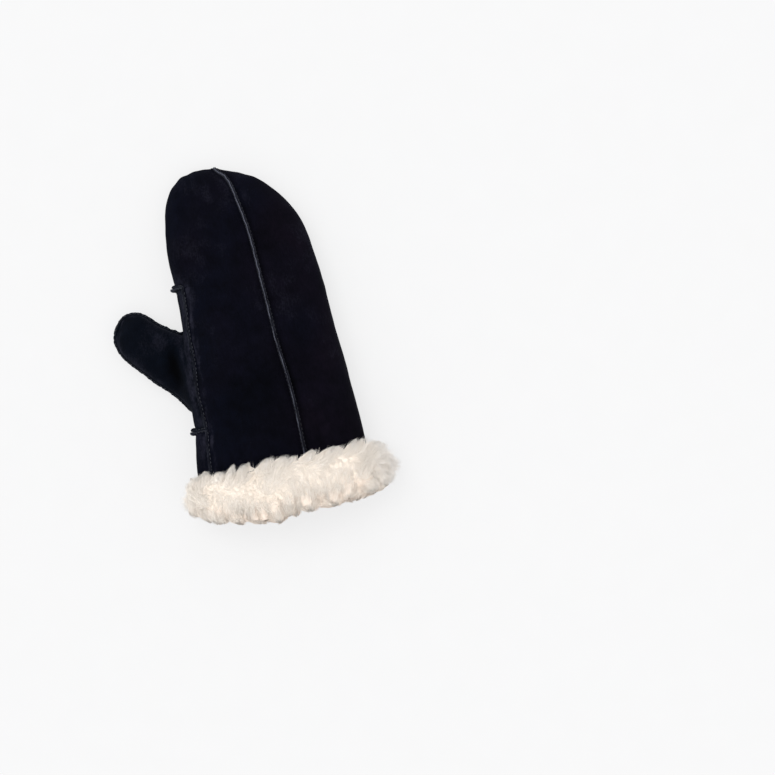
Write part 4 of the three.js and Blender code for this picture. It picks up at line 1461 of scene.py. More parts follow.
class Wire:
    """A socket's value that takes part in shader arithmetic."""

    def __init__(self, board: "Board", socket: bpy.types.NodeSocket) -> None:
        """Keep the socket and the board that it is on."""
        self.board = board
        self.socket = socket

    def _math(self, operation: str, first: "Wire | float", second: "Wire | float") -> "Wire":
        """Add a Math node and return its result."""
        return self.board.value("ShaderNodeMath", {"operation": operation}, {0: first, 1: second})

    def __add__(self, other: "Wire | float") -> "Wire":
        """Return the sum."""
        return self._math("ADD", self, other)

    def __radd__(self, other: "Wire | float") -> "Wire":
        """Return the sum."""
        return self._math("ADD", other, self)

    def __sub__(self, other: "Wire | float") -> "Wire":
        """Return the difference."""
        return self._math("SUBTRACT", self, other)

    def __rsub__(self, other: "Wire | float") -> "Wire":
        """Return the difference, the other way round."""
        return self._math("SUBTRACT", other, self)

    def __mul__(self, other: "Wire | float") -> "Wire":
        """Return the product."""
        return self._math("MULTIPLY", self, other)

    def __rmul__(self, other: "Wire | float") -> "Wire":
        """Return the product."""
        return self._math("MULTIPLY", other, self)

    def clamped(self) -> "Wire":
        """Return the value held between 0 and 1."""
        return self.board.value("ShaderNodeClamp", {}, {"Value": self})


class Board:
    """The nodes of one material."""

    def __init__(self, name: str) -> None:
        """Start an empty material."""
        self.material = bpy.data.materials.new(name)
        self.material.use_nodes = True
        self.tree = self.material.node_tree
        self.tree.nodes.clear()

    def node(self, kind: str, settings: dict, sockets: dict) -> bpy.types.Node:
        """Add a node.

        Args:
            kind: The node's type.
            settings: Its own settings, set first, with a ramp's colours under "stops".
            sockets: Values or wires for its inputs, by name or number.

        Returns:
            The new node.
        """
        made = self.tree.nodes.new(kind)
        for key, setting in settings.items():
            if key == "stops":
                self._set_stops(made.color_ramp, setting)
            else:
                setattr(made, key, setting)
        for key, given in sockets.items():
            socket = made.inputs[key]
            if isinstance(given, Wire):
                self.tree.links.new(given.socket, socket)
            else:
                socket.default_value = given
        return made

    @staticmethod
    def _set_stops(colours: bpy.types.ColorRamp, stops: list[tuple]) -> None:
        """Set a ramp's stops.

        Args:
            colours: The ramp.
            stops: The place of each stop and its colour or grey.
        """
        while len(colours.elements) < len(stops):
            colours.elements.new(0.5)
        for element, (position, colour) in zip(colours.elements, stops):
            element.position = position
            grey = isinstance(colour, float)
            element.color = (colour, colour, colour, 1.0) if grey else (*colour, 1.0)

    def value(self, kind: str, settings: dict, sockets: dict, output: int | str = 0) -> Wire:
        """Add a node and return one of its outputs."""
        return Wire(self, self.node(kind, settings, sockets).outputs[output])

    def place(self) -> Wire:
        """Return the place on the piece, in metres."""
        return self.value("ShaderNodeTexCoord", {}, {}, "Object")

    def noise(self, scale: float, detail: float = 2.0, rough: float = 0.5) -> Wire:
        """Return noise over the piece, with scale in features a metre."""
        sockets = {"Vector": self.place(), "Scale": scale, "Detail": detail, "Roughness": rough}
        return self.value("ShaderNodeTexNoise", {}, sockets)

    def stretched_noise(self, stretch: tuple[float, float, float]) -> Wire:
        """Return noise drawn out along an axis, with features a metre along each."""
        stretched = {"Vector": self.place(), "Scale": stretch}
        mapped = self.value("ShaderNodeMapping", {"vector_type": "POINT"}, stretched)
        sockets = {"Vector": mapped, "Scale": 1.0, "Detail": 2.0}
        return self.value("ShaderNodeTexNoise", {}, sockets)

    def curve(self, source: Wire, stops: list[tuple]) -> Wire:
        """Return a colour ramp's colour at a value."""
        return self.value("ShaderNodeValToRGB", {"stops": stops}, {"Fac": source})

    def span(self, source: Wire, low: float, high: float) -> Wire:
        """Return 0 below low, 1 above high and a straight ramp between."""
        sockets = {"Value": source, "From Min": low, "From Max": high}
        return self.value("ShaderNodeMapRange", {"clamp": True}, sockets)

    def mixed(
        self, share: Wire | float, first: Wire | tuple, second: Wire | tuple, blend: str = "MIX"
    ) -> Wire:
        """Mix one colour with another."""
        pair = [c if isinstance(c, Wire) else (*c, 1.0) for c in (first, second)]
        settings = {"data_type": "RGBA", "blend_type": blend}
        return self.value("ShaderNodeMix", settings, {0: share, 6: pair[0], 7: pair[1]}, 2)

    def mark(self, name: str) -> Wire:
        """Return a value that the mesh carries at its points."""
        settings = {"attribute_type": "GEOMETRY", "attribute_name": name}
        return self.value("ShaderNodeAttribute", settings, {}, "Fac")

    def bump(self, strength: float, distance: float, height: Wire) -> Wire:
        """Return the normal of a surface that rises and falls with a height."""
        sockets = {"Strength": strength, "Distance": distance, "Height": height}
        return self.value("ShaderNodeBump", {}, sockets)

    def finish(self, shader_sockets: dict) -> bpy.types.Material:
        """Wire up the surface shader and return the material."""
        shader = self.value("ShaderNodeBsdfPrincipled", {}, shader_sockets)
        self.node("ShaderNodeOutputMaterial", {}, {"Surface": shader})
        return self.material


@dataclass(frozen=True)
class SuedeFinish:
    """Matt suede with a short nap that runs from bluish to purplish, paler cut edges, and painted
    light and shade.
    """

    name: str
    deep: tuple[float, float, float]
    cool: tuple[float, float, float]
    warm: tuple[float, float, float]
    rubbed_and_lit: tuple[float, float, float]
    raw_and_lit_edge: tuple[float, float, float]

    def material(self) -> bpy.types.Material:
        """Make the suede's material."""
        board = Board(self.name)
        cloudy = board.noise(55.0, 3.0, 0.55)
        patches = board.noise(210.0, 3.0, 0.6)
        nap = board.noise(1500.0, 3.0, 0.65)
        stroke = board.stretched_noise((900.0, 170.0, 900.0))
        brushed = board.span(0.4 * cloudy + 0.3 * patches + 0.3 * stroke, 0.28, 0.72)
        tone = board.mixed(board.mark("warm"), self.cool, self.warm)
        colour = board.mixed(brushed, self.deep, tone)
        grain = board.curve(board.span(nap, 0.3, 0.75), [(0.0, 0.45), (1.0, 1.0)])
        colour = board.mixed(0.55, colour, grain, "MULTIPLY")
        hairs = board.stretched_noise((1500.0, 260.0, 1500.0))
        fibres = 0.5 * board.noise(560.0, 3.0, 0.7) + 0.5 * hairs
        ruffled = 0.4 + 0.9 * board.span(board.mark("wear_and_shading"), 0.55, 0.85)
        wear_and_shading = board.mark("wear_and_shading") + ruffled * (fibres - 0.5)
        # Paler where the nap is rubbed and where a highlight and sheen are painted.
        colour = board.mixed(board.span(wear_and_shading, 0.57, 0.97), colour, self.rubbed_and_lit)
        # Darker where the mark is low: painted shade in hollows and creases, and the darker patch.
        sunk = board.curve(board.span(wear_and_shading, 0.0, 0.52), [(0.0, 0.12), (1.0, 1.0)])
        colour = board.mixed(1.0, colour, sunk, "MULTIPLY")
        frayed = board.noise(700.0, 3.0, 0.6)
        # Paler on cut edges, and on the lit lips as a painted highlight; the shaded lips stay
        # darker.
        raw_and_lit = (board.mark("raw_and_lit") * (0.55 + 0.75 * frayed)).clamped()
        return board.finish({
            "Base Color": board.mixed(raw_and_lit, colour, self.raw_and_lit_edge),
            "Roughness": 0.96,
            "Specular IOR Level": 0.03,
            "Sheen Weight": 0.012,
            "Sheen Roughness": 0.6,
            "Sheen Tint": (0.55, 0.6, 0.8, 1.0),
            "Normal": board.bump(0.5, 0.00045, 0.7 * nap + 0.3 * stroke),
        })


@dataclass(frozen=True)
class ThreadFinish:
    """Waxed black thread, with a painted highlight along it."""

    name: str = "black_thread"
    colour: tuple[float, float, float] = (0.006, 0.0065, 0.009)
    light: tuple[float, float, float] = (0.040, 0.044, 0.060)

    def material(self) -> bpy.types.Material:
        """Make the thread's material."""
        board = Board(self.name)
        strands = board.noise(2600.0, 2.0, 0.5)
        # Painted highlight: pale glints along the thread, strongest where the seam's light share
        # is high.
        shine = board.span(strands, 0.35, 0.7) * (0.25 + 0.75 * board.mark("light"))
        return board.finish({
            "Base Color": board.mixed(shine, self.colour, self.light),
            "Roughness": 0.62,
            "Specular IOR Level": 0.3,
            "Normal": board.bump(0.4, 0.0002, strands),
        })


@dataclass(frozen=True)
class WoolFinish:
    """Cream fleece, darker at its roots, partly as painted shade deep in the wool, with painted
    shade where it turns under and painted light along its upper edge and outer end.
    """

    name: str
    root: tuple[float, float, float]
    middle: tuple[float, float, float]
    tip: tuple[float, float, float]
    painted_bright: tuple[float, float, float]
    shade: tuple[float, float, float]
    under: tuple[float, float, float]

    def material(self) -> bpy.types.Material:
        """Make the fleece's material."""
        board = Board(self.name)
        # The root stop is partly painted shade deep in the wool; the top stop is painted light.
        colour = board.curve(board.mark("tip"), [
            (0.0, self.root), (0.45, self.middle), (0.85, self.tip), (1.0, self.painted_bright),
        ])
        clumps = board.noise(95.0, 3.0, 0.55)
        tint = board.mark("tint")
        uneven = board.span(0.55 * clumps + 0.45 * tint, 0.42, 0.72)
        colour = board.mixed(0.45 * uneven, colour, self.shade)
        # Painted shade where the wool turns under the mouth's edge.
        colour = board.mixed(board.span(tint, 1.0, 2.0), colour, self.under)
        return board.finish({
            "Base Color": colour,
            "Roughness": 1.0,
            "Specular IOR Level": 0.02,
            "Sheen Weight": 0.5,
            "Sheen Roughness": 0.5,
            "Sheen Tint": (1.0, 0.97, 0.92, 1.0),
        })


# The pad's outline round the mouth's edge: share of the band behind the mouth, share of the
# roll before it, and share of the depth, outward or inward
FLEECE_OUTLINE = [
    (1.00, 0.00, -0.10),
    (1.10, 0.00, 0.38),
    (0.98, 0.00, 0.74),
    (0.72, 0.00, 0.98),
    (0.40, 0.00, 1.00),
    (0.10, 0.00, 0.78),
    (0.00, 0.75, 0.38),
    (0.00, 1.00, -0.15),
    (0.00, 0.70, -0.85),
    (0.05, 0.00, -1.10),
]
# Two more corners hook the pad over the leather's inner face
PAD_CORNERS = len(FLEECE_OUTLINE) + 2

# The cuff's edges from its thumb end to its outer end: how far across the hand, where its
# wool starts in front of the mouth or behind it, and where it ends, in shares of the band
CUFF_TABLE = Table("along front back", [
    (-0.760, 0.560, 0.580),
    (-0.735, 0.330, 0.830),
    (-0.700, 0.240, 0.940),
    (-0.650, 0.190, 1.010),
    (-0.590, 0.090, 1.060),
    (-0.490, -0.030, 1.070),
    (-0.380, -0.055, 1.050),
    (-0.260, -0.150, 1.060),
    (-0.100, -0.185, 1.100),
    (0.050, -0.135, 1.090),
    (0.200, -0.140, 1.080),
    (0.400, -0.135, 1.080),
    (0.520, -0.110, 1.070),
    (0.600, -0.085, 1.060),
    (0.660, -0.020, 1.030),
    (0.710, -0.010, 0.910),
    (0.750, 0.050, 0.750),
    (0.785, 0.190, 0.610),
    (0.810, 0.420, 0.500),
])


@dataclass
class Wool:
    """Fibres of wool, drawn as fine three-sided strands."""

    steps: int = 2
    radius: float = 0.125
    sides: int = 3
    taper: float = 0.55

    def lines(self, root: np.ndarray, way: np.ndarray, length: np.ndarray) -> np.ndarray:
        """Draw straight strands."""
        return root[:, None] + way[:, None] * length[:, None, None] * self.shares()

    def shares(self) -> np.ndarray:
        """Return the shares along a strand at which it has points."""
        return np.linspace(0.0, 1.0, self.steps + 1)[None, :, None]

    def strands(
        self, lines: np.ndarray, thickness: np.ndarray, seed: int
    ) -> tuple[np.ndarray, np.ndarray, np.ndarray]:
        """Make strands along lines.

        Args:
            lines: Points along each strand, root first.
            thickness: Each strand's share of the usual radius.
            seed: Which way round the strands are turned.

        Returns:
            Points, triangles, and the share along its strand at each point.
        """
        count, levels = lines.shape[:2]
        rng = np.random.default_rng(seed)
        ahead = unit(lines[:, -1] - lines[:, 0])
        aside = unit(np.cross(ahead, unit(rng.normal(size=(count, 3)))))
        third = np.cross(ahead, aside)
        turns = np.arange(self.sides) / self.sides * math.tau
        ring = (
            np.cos(turns)[None, :, None] * aside[:, None]
            + np.sin(turns)[None, :, None] * third[:, None]
        )
        shares = np.linspace(0.0, 1.0, levels)
        narrowed = (1.0 - self.taper * shares[:-1])[None, :, None, None]
        wide = (self.radius * thickness)[:, None, None, None] * narrowed
        rings = lines[:, :-1, None] + ring[:, None] * wide
        points = np.concatenate([rings.reshape(count, -1, 3), lines[:, -1:]], axis=1)
        each = points.shape[1]
        grid = np.arange((levels - 1) * self.sides).reshape(levels - 1, self.sides)
        last = grid[-1]
        cap = np.stack([last, np.roll(last, -1), np.full(self.sides, each - 1)], axis=1)
        one = np.concatenate([triangles(lofted(grid)), cap])
        faces = (one[None] + (np.arange(count) * each)[:, None, None]).reshape(-1, 3)
        along = np.concatenate([np.repeat(shares[:-1], self.sides), [1.0]])
        return points.reshape(-1, 3), faces, np.tile(along, count)


@dataclass
class FleeceCuff:
    """The fleece turned back over the mouth: a lumpy pad with its wool in pointed locks.

    Places across the pad's outline are also told by its corners, numbered from the edge over
    the suede, past the outer face and the mouth's lip, to the inner face.
    """

    hand: HandForm
    wool: Wool
    band: float = 40.0
    roll: float = 3.0
    side: float = 13.0
    side_lean: float = 1.0
    top: float = 10.0
    under: float = 9.0
    leather: float = 2.0
    gap: float = 0.3
    lining: float = 5.0
    hook: float = 10.0
    pad_share: float = 0.8
    around: int = 260
    across: int = 84
    strands: int = 78000
    palm_share: float = 0.42
    lock: float = 7.0
    lock_long: float = 11.0
    hanging: float = 10.5
    hanging_long: float = 14.85
    tuft: float = 13.0
    tuft_depth: float = 9.0
    wool_reach: float = 5.0
    crown: float = 1.6
    curl: float = 0.3
    first_corner: float = 0.25
    turn_corner: float = 3.6
    last_corner: float = 9.7
    edge_turn: float = 0.5
    clearance: float = 0.5
    floor_gap: float = 0.4
    grid: np.ndarray = field(init=False)
    normals: np.ndarray = field(init=False)
    angles: np.ndarray = field(init=False)

    def depth(self, angle: np.ndarray) -> np.ndarray:
        """Work out how far the fleece stands off the leather."""
        level = np.abs(np.cos(angle)) ** 3
        flat = np.where(np.sin(angle) >= 0.0, self.top, self.under)
        return flat + (self.side + self.side_lean * np.cos(angle) - flat) * level

    def edges(self, x: np.ndarray) -> tuple[np.ndarray, np.ndarray]:
        """Work out where the wool's edges lie.

        Args:
            x: Places across the hand.

        Returns:
            How far along the hand the front edge and the back edge lie.
        """
        table = CUFF_TABLE.columns["along"]
        share = np.clip(x / self.hand.width, table[0], table[-1])
        front = CUFF_TABLE.at("front", share) * self.band
        return front, CUFF_TABLE.at("back", share) * self.band

    def point(self, angle: np.ndarray, y: np.ndarray, out: np.ndarray) -> np.ndarray:
        """Work out points of the pad, which stays within its wool.

        Args:
            angle: Angles round the cuff.
            y: Places along the cuff's band.
            out: How far out from the leather's outer face the points lie.

        Returns:
            The points.
        """
        point = self.hand.point(np.maximum(y, 0.0), angle, -out)
        front, back = self.edges(point[..., 0])
        share = (y + self.roll) / (1.1 * self.band + self.roll)
        low, high = front + self.wool_reach, back - 1.2 * self.wool_reach
        middle = (low + high) / 2.0
        low, high = np.minimum(low, middle - 2.0), np.maximum(high, middle + 2.0)
        point[..., 1] = low + (high - low) * share
        return point

    def build_pad(self) -> tuple[np.ndarray, np.ndarray, dict[str, np.ndarray]]:
        """Shape the pad that the wool grows from.

        Returns:
            Points, triangles and marks.
        """
        self.angles = self.hand.even_angles(self.around, self.band / 2.0, self.top)
        inner = self.leather + self.gap + self.lining
        depth = self.depth(self.angles)
        rows = []
        for band, roll, out in FLEECE_OUTLINE:
            y = np.full_like(depth, band * self.band - roll * self.roll)
            reach = out * depth * self.pad_share if out > 0 else np.full_like(depth, out * inner)
            rows.append(self.point(self.angles, y, reach))
        for out in (-inner, -self.leather / 2.0):
            hooked = np.full_like(depth, self.hook)
            rows.append(self.point(self.angles, hooked, np.full_like(depth, out)))
        self.grid = self.rounded(np.stack(rows, axis=1))
        quads = lofted(np.arange(self.grid[..., 0].size).reshape(self.grid.shape[:2]), loop=True)
        flat = self.grid.reshape(-1, 3)
        self.normals = point_normals(flat, quads).reshape(self.grid.shape)
        corner = np.arange(self.across) / self.across * PAD_CORNERS
        lumps = 0.7 * waves(flat, 19.0, 31) + 0.2 * waves(flat, 7.0, 32)
        lumps = lumps.reshape(self.grid.shape[:2]) * (0.4 + 0.6 * ramp(corner, 3.0, 5.0))
        lumps *= ramp(corner, 0.3, 1.0) * (1.0 - ramp(corner, 8.6, 9.4))
        grooves = 0.4 * waves(flat * [1.0, 0.3, 0.3], 10.0, 37).reshape(self.grid.shape[:2])
        grooves *= ramp(corner, 3.4, 5.0) * (1.0 - ramp(corner, 6.6, 7.6))
        self.grid = self.grid + self.normals * (lumps + grooves)[..., None]
        self.grid[..., 2] = np.maximum(self.grid[..., 2], 1.0)
        flat = self.grid.reshape(-1, 3)
        self.normals = point_normals(flat, quads).reshape(self.grid.shape)
        # The pad is darker than the wool's tips, as painted shade deep in the wool, and darker
        # still where it turns under, as painted shade too.
        low = np.tile(ramp(corner, 3.2, 4.6), self.around)
        return flat, triangles(quads), {"tip": 0.22 - 0.17 * low, "tint": 0.4 + 1.0 * low}

    def rounded(self, corners: np.ndarray) -> np.ndarray:
        """Round the pad's outline through its corners at every angle.

        Args:
            corners: The corners, by angle and by place across the outline.

        Returns:
            The points of the pad's grid.
        """
        count = corners.shape[1]
        at = np.arange(self.across) / self.across * count
        i = at.astype(int)
        near = [corners[:, (i + step) % count] for step in (-1, 0, 1, 2)]
        return eased(*near, (at - i)[None, :, None])

    def sampled(self, values: np.ndarray, around: np.ndarray, across: np.ndarray) -> np.ndarray:
        """Read a value of the pad's grid between its points.

        Args:
            values: The value at each point of the grid.
            around: Places round the cuff, in steps of the grid.
            across: Places across the pad's outline, in steps of the grid.

        Returns:
            The value at each place.
        """
        i, j = around.astype(int), across.astype(int)
        s, t = (around - i)[:, None], (across - j)[:, None]
        i, j = i % self.around, j % self.across
        i2, j2 = (i + 1) % self.around, (j + 1) % self.across
        low = values[i, j] * (1.0 - s) + values[i2, j] * s
        high = values[i, j2] * (1.0 - s) + values[i2, j2] * s
        return low * (1.0 - t) + high * t

    def lay_locks(
        self, rng: np.random.Generator, circle: float, start: float, turn_back: float, end: float
    ) -> np.ndarray:
        """Scatter the middles of the wool's locks over the pad, row by row.

        Args:
            rng: Draws the unevenness.
            circle: The way round the pad, in millimetres.
            start: How far down the outline the first row starts.
            turn_back: Where the locks that hang over the mouth begin.
            end: Where the last row ends.

        Returns:
            How far round and how far down each lock lies, its width and its length.
        """
        lanes = [(start, self.tuft, self.tuft_depth)]
        for top in np.arange(start + self.tuft_depth, turn_back, self.lock_long):
            lanes.append((top, self.lock, self.lock_long))
        for top in np.arange(lanes[-1][0] + self.lock_long, end, self.hanging_long):
            lanes.append((top, self.hanging, self.hanging_long))
        locks = []
        for lane, (top, wide, long) in enumerate(lanes):
            count = int(circle / wide)
            stray = rng.uniform(-0.48, 0.48, size=(2, count))
            over = (np.arange(count) + 0.5 + stray[0] + 0.5 * (lane % 2)) / count * circle
            down = top + (0.5 + 0.7 * stray[1]) * long
            bulk = rng.uniform(0.75, 1.3, size=count)
            locks.append(np.stack([over, down, wide * bulk, long * bulk]))
        return np.concatenate(locks, axis=1)

    @staticmethod
    def nearest_locks(
        over: np.ndarray, down: np.ndarray, locks: np.ndarray, circle: float
    ) -> tuple[np.ndarray, np.ndarray]:
        """Find the lock that each strand belongs to.

        Args:
            over: How far round the pad each strand lies.
            down: How far down its outline.
            locks: The locks, as lay_locks gives them.
            circle: The way round the pad.

        Returns:
            Each strand's lock, and how far beside its middle the strand lies, in widths.
        """
        mine, beside = np.empty(len(over), dtype=int), np.empty(len(over))
        for part in np.array_split(np.arange(len(over)), 40):
            dx = (over[part, None] - locks[0] + circle / 2.0) % circle - circle / 2.0
            dx = dx / locks[2]
            dy = (down[part, None] - locks[1]) / locks[3]
            mine[part] = (dx**2 + dy**2).argmin(axis=1)
            beside[part] = np.abs(dx)[np.arange(len(part)), mine[part]]
        return mine, beside

    def build_wool(self) -> dict[WoolSide, tuple]:
        """Grow the wool in clumps that end in points.

        Returns:
            Points, triangles and marks for each stretch of the cuff.
        """
        rng = np.random.default_rng(5)
        columns = np.concatenate([self.grid, self.grid[:, :1]], axis=1)
        widths = np.linalg.norm(np.diff(columns, axis=1), axis=2).mean(axis=0)
        outline = np.concatenate([[0.0], np.cumsum(widths)])
        ring = self.grid[:, self.across // 3]
        circle = np.linalg.norm(np.roll(ring, -1, axis=0) - ring, axis=1).sum()
        per = self.across / PAD_CORNERS
        steps = np.arange(self.across + 1)
        start, turn_back, end = (
            np.interp(corner * per, steps, outline)
            for corner in (self.first_corner, self.turn_corner, self.last_corner)
        )

        def grid_steps(over: np.ndarray, down: np.ndarray) -> tuple[np.ndarray, np.ndarray]:
            """Turn distances round and across the pad into steps of its grid."""
            across = np.clip(np.interp(down, outline, steps), 0, self.across - 1e-6)
            return (over / circle * self.around) % self.around, across

        locks = self.lay_locks(rng, circle, start, turn_back, end)
        lead_steps = grid_steps(locks[0], locks[1])
        lead_root, lead_way, lead_length, _ = self.growth(*lead_steps, rng, True)
        lead_length *= 1.0 + 0.18 * (1.0 - ramp(lead_steps[1] / per, 1.2, 2.0))

        over = rng.uniform(0.0, circle, size=self.strands)
        down = start + (end - start) * rng.uniform(0.0, 1.0, size=self.strands)
        around, across = grid_steps(over, down)
        root, way, length, normal = self.growth(around, across, rng, False)
        angle = np.interp(around, np.arange(self.around + 1), [*self.angles, math.tau])
        kept = (np.sin(angle) >= -0.5) | (rng.uniform(size=len(root)) < self.palm_share)
        root, way, length, normal = root[kept], way[kept], length[kept], normal[kept]
        angle, spot = angle[kept], across[kept] / per
        mine, beside = self.nearest_locks(over[kept], down[kept], locks, circle)

        t = self.wool.shares()
        free = self.wool.lines(root, way, length)
        lead = self.wool.lines(lead_root[mine], lead_way[mine], lead_length[mine])
        tufted, locked = 1.0 - ramp(spot, 1.2, 2.0), ramp(spot, 3.8, 5.0)
        hold = (0.36 + 0.6 * tufted + 0.6 * locked) * rng.uniform(0.8, 1.1, size=len(root))
        pull = np.minimum(hold, 1.0)[:, None, None] * t ** (1.3 - 0.4 * tufted)[:, None, None]
        lines = free * (1.0 - pull) + lead * pull
        ridged = np.maximum(np.maximum(locked, 0.6 * tufted), 0.3)
        aside = np.clip(2.0 * beside, 0.0, 1.0) ** 2
        crown = self.crown * (1.0 - aside) * ridged
        lines = lines + normal[:, None] * crown[:, None, None] * (0.5 + 0.5 * t)
        curl = rng.normal(size=(len(root), 3)) * self.curl
        lines = lines + curl[:, None] * np.sin(t * math.pi)
        lines[..., 2] -= (0.8 + 2.2 * locked)[:, None] * t[..., 0] ** 2
        lines = self.cleared(lines)
        thick = rng.uniform(0.7, 1.3, size=len(root))

        clump_tint = rng.uniform(0.0, 1.0, size=locks.shape[1])
        tint = 0.3 * clump_tint[mine] + 0.7 * rng.uniform(size=len(root))
        # The outer end, turned away from the light, is painted lighter: less shade colour, paler
        # tips and less root shade.
        outer_end = ramp(root[:, 0], 50.0, 82.0)
        tint = tint * (1.0 - 0.7 * outer_end)
        # Painted shade where the wool turns under the mouth's edge.
        tint = tint + ramp(spot, 5.2, 6.3) * (1.0 - ramp(spot, 7.6, 8.2))
        # Painted light along the upper edge and at the outer end.
        painted_bright = np.maximum(1.0 - ramp(spot, 1.4, 2.6), outer_end)
        shaded = ramp(spot, 3.6, 5.4) * (1.0 - 0.6 * outer_end)
        base = 0.75 * (1.0 - shaded) + 0.2 * painted_bright
        crest = 0.82 + 0.18 * painted_bright
        # Painted shade in the creases between the locks.
        rim = 1.0 - 0.5 * aside * ridged
        side = self.stretches(angle)
        made = {}
        for number, name in enumerate(WoolSide):
            own = side == number
            points, faces, along = self.wool.strands(lines[own], thick[own], 60 + number)
            along = along.reshape(own.sum(), -1)
            low, high = base[own, None], crest[own, None]
            tip = (low + (high - low) * along) * rim[own, None]
            marks = {"tip": tip.ravel(), "tint": np.repeat(tint[own], along.shape[1])}
            made[name] = (points, faces, marks)
        return made

    def stretches(self, angle: np.ndarray) -> np.ndarray:
        """Tell which stretch of the cuff angles round it belong to."""
        half = self.edge_turn
        bounds = [2.0 * half, math.pi / 2.0 + half, math.pi, math.pi + 2.0 * half]
        return np.searchsorted(bounds, (angle + half) % math.tau, side="right")

    def growth(
        self, around: np.ndarray, across: np.ndarray, rng: np.random.Generator, leads: bool
    ) -> tuple[np.ndarray, np.ndarray, np.ndarray, np.ndarray]:
        """Work out where strands start, which way they grow and how long they are.

        Args:
            around: Places round the cuff, in steps of the pad's grid.
            across: Places across the pad's outline, in steps of the grid.
            rng: Draws the unevenness.
            leads: Whether these are the lines that locks are drawn to, which stray further.

        Returns:
            Roots, unit directions, lengths and the ways that the pad faces.
        """
        root = self.sampled(self.grid, around, across)
        normal = unit(self.sampled(self.normals, around, across))
        spot = across / self.across * PAD_CORNERS
        parting = spot + 0.55 * waves(root, 26.0, 35)
        upward = 1.0 - 2.0 * ramp(parting, 1.7, 4.0)
        upper, lower = np.maximum(upward, 0.0), np.maximum(-upward, 0.0)
        mouth = ramp(spot, 4.2, 6.0)
        inside_mouth = ramp(spot, 7.2, 8.4)
        flow = np.zeros_like(root)
        flow[:, 1] = 1.1 * upper - 0.9 * lower - 0.4 * mouth * (1.0 - inside_mouth)
        flow[:, 0] = (0.60 - 0.46 * lower) * (1.0 - ramp(-root[:, 0], 40.0, 75.0))
        flow[:, 0] += 0.6 * np.sign(root[:, 0]) * ramp(np.abs(root[:, 0]), 50.0, 84.0)
        flow[:, 0] += 0.20 * waves(root, 34.0, 33)
        flow[:, 1] += 0.14 * waves(root, 30.0, 34)
        lift = 0.28 + 0.16 * (1.0 - np.abs(upward)) + 0.1 * mouth
        if leads:
            lift = lift + 0.26 * lower
        stray = rng.normal(size=root.shape) * (0.27 if leads else 0.21)
        way = unit(normal * lift[:, None] + flow + stray)
        usual = 12.0 + 2.5 * upper + 2.0 * lower - 7.0 * inside_mouth
        length = rng.uniform(0.75, 1.25, size=len(root)) * usual
        root = root - normal * 0.8
        tip = root + way * length[:, None]
        over = self.past_edges(tip, spot, rng)
        run = np.maximum(np.abs(tip[:, 1] - root[:, 1]), 0.5)
        length *= np.clip(1.0 - np.maximum(over, 0.0) / run, 0.25, 1.0)
        return root, way, length, normal

    def past_edges(
        self, tip: np.ndarray, spot: np.ndarray, rng: np.random.Generator
    ) -> np.ndarray:
        """Work out how far strands stand past the cuff's flamed back and toothed front edge.

        Args:
            tip: Where the strands end.
            spot: Where they start across the pad's outline, by its corners.
            rng: Draws the unevenness.

        Returns:
            How far each stands out, less than 0 where it doesn't.
        """
        x = tip[:, 0]
        front, back = self.edges(x)
        slack = rng.normal(size=len(x)) * 0.7
        saw = (x / 12.5 + 0.4 * waves(tip[:, :1], 31.0, 38)) % 1.0 - 0.5
        flame = (saw - 0.15) * (3.0 + 3.6 * ramp(x, -10.0, 40.0))
        back = back + 0.8 + 1.5 * waves(tip[:, :1], 27.0, 36) + 1.2 * np.abs(slack) + flame
        teeth = np.sin(math.pi * (x / 8.5 + 0.35 * waves(tip[:, :1], 19.0, 39)))
        lip = 2.6 * ramp(x, -5.0, 25.0) * (1.0 - ramp(spot, 5.6, 6.2))
        lip = lip - 1.4 + 3.2 * np.abs(teeth)
        return np.maximum(front + lip + slack - tip[:, 1], tip[:, 1] - back)

    def cleared(self, lines: np.ndarray) -> np.ndarray:
        """Hold strands off the floor and off the leather.

        Args:
            lines: Points along each strand.

        Returns:
            The points, moved up or down where they have to.
        """
        flat = lines.reshape(-1, 3)
        x, y, z = flat[:, 0], flat[:, 1], flat[:, 2]
        cut = self.hand.section(y)
        over = (np.abs(x - cut.middle) < cut.half) & (y > 0.6 * self.band)
        top = self.hand.surface_height(x, y, Face.BACK) + self.clearance
        z = np.where(over & (z > cut.edge), np.maximum(z, top), z)
        low = self.hand.surface_height(x, y, Face.PALM) - self.clearance
        z = np.where(over & (z <= cut.edge), np.minimum(z, low), z)
        flat[:, 2] = np.maximum(z, self.floor_gap)
        return flat.reshape(lines.shape)


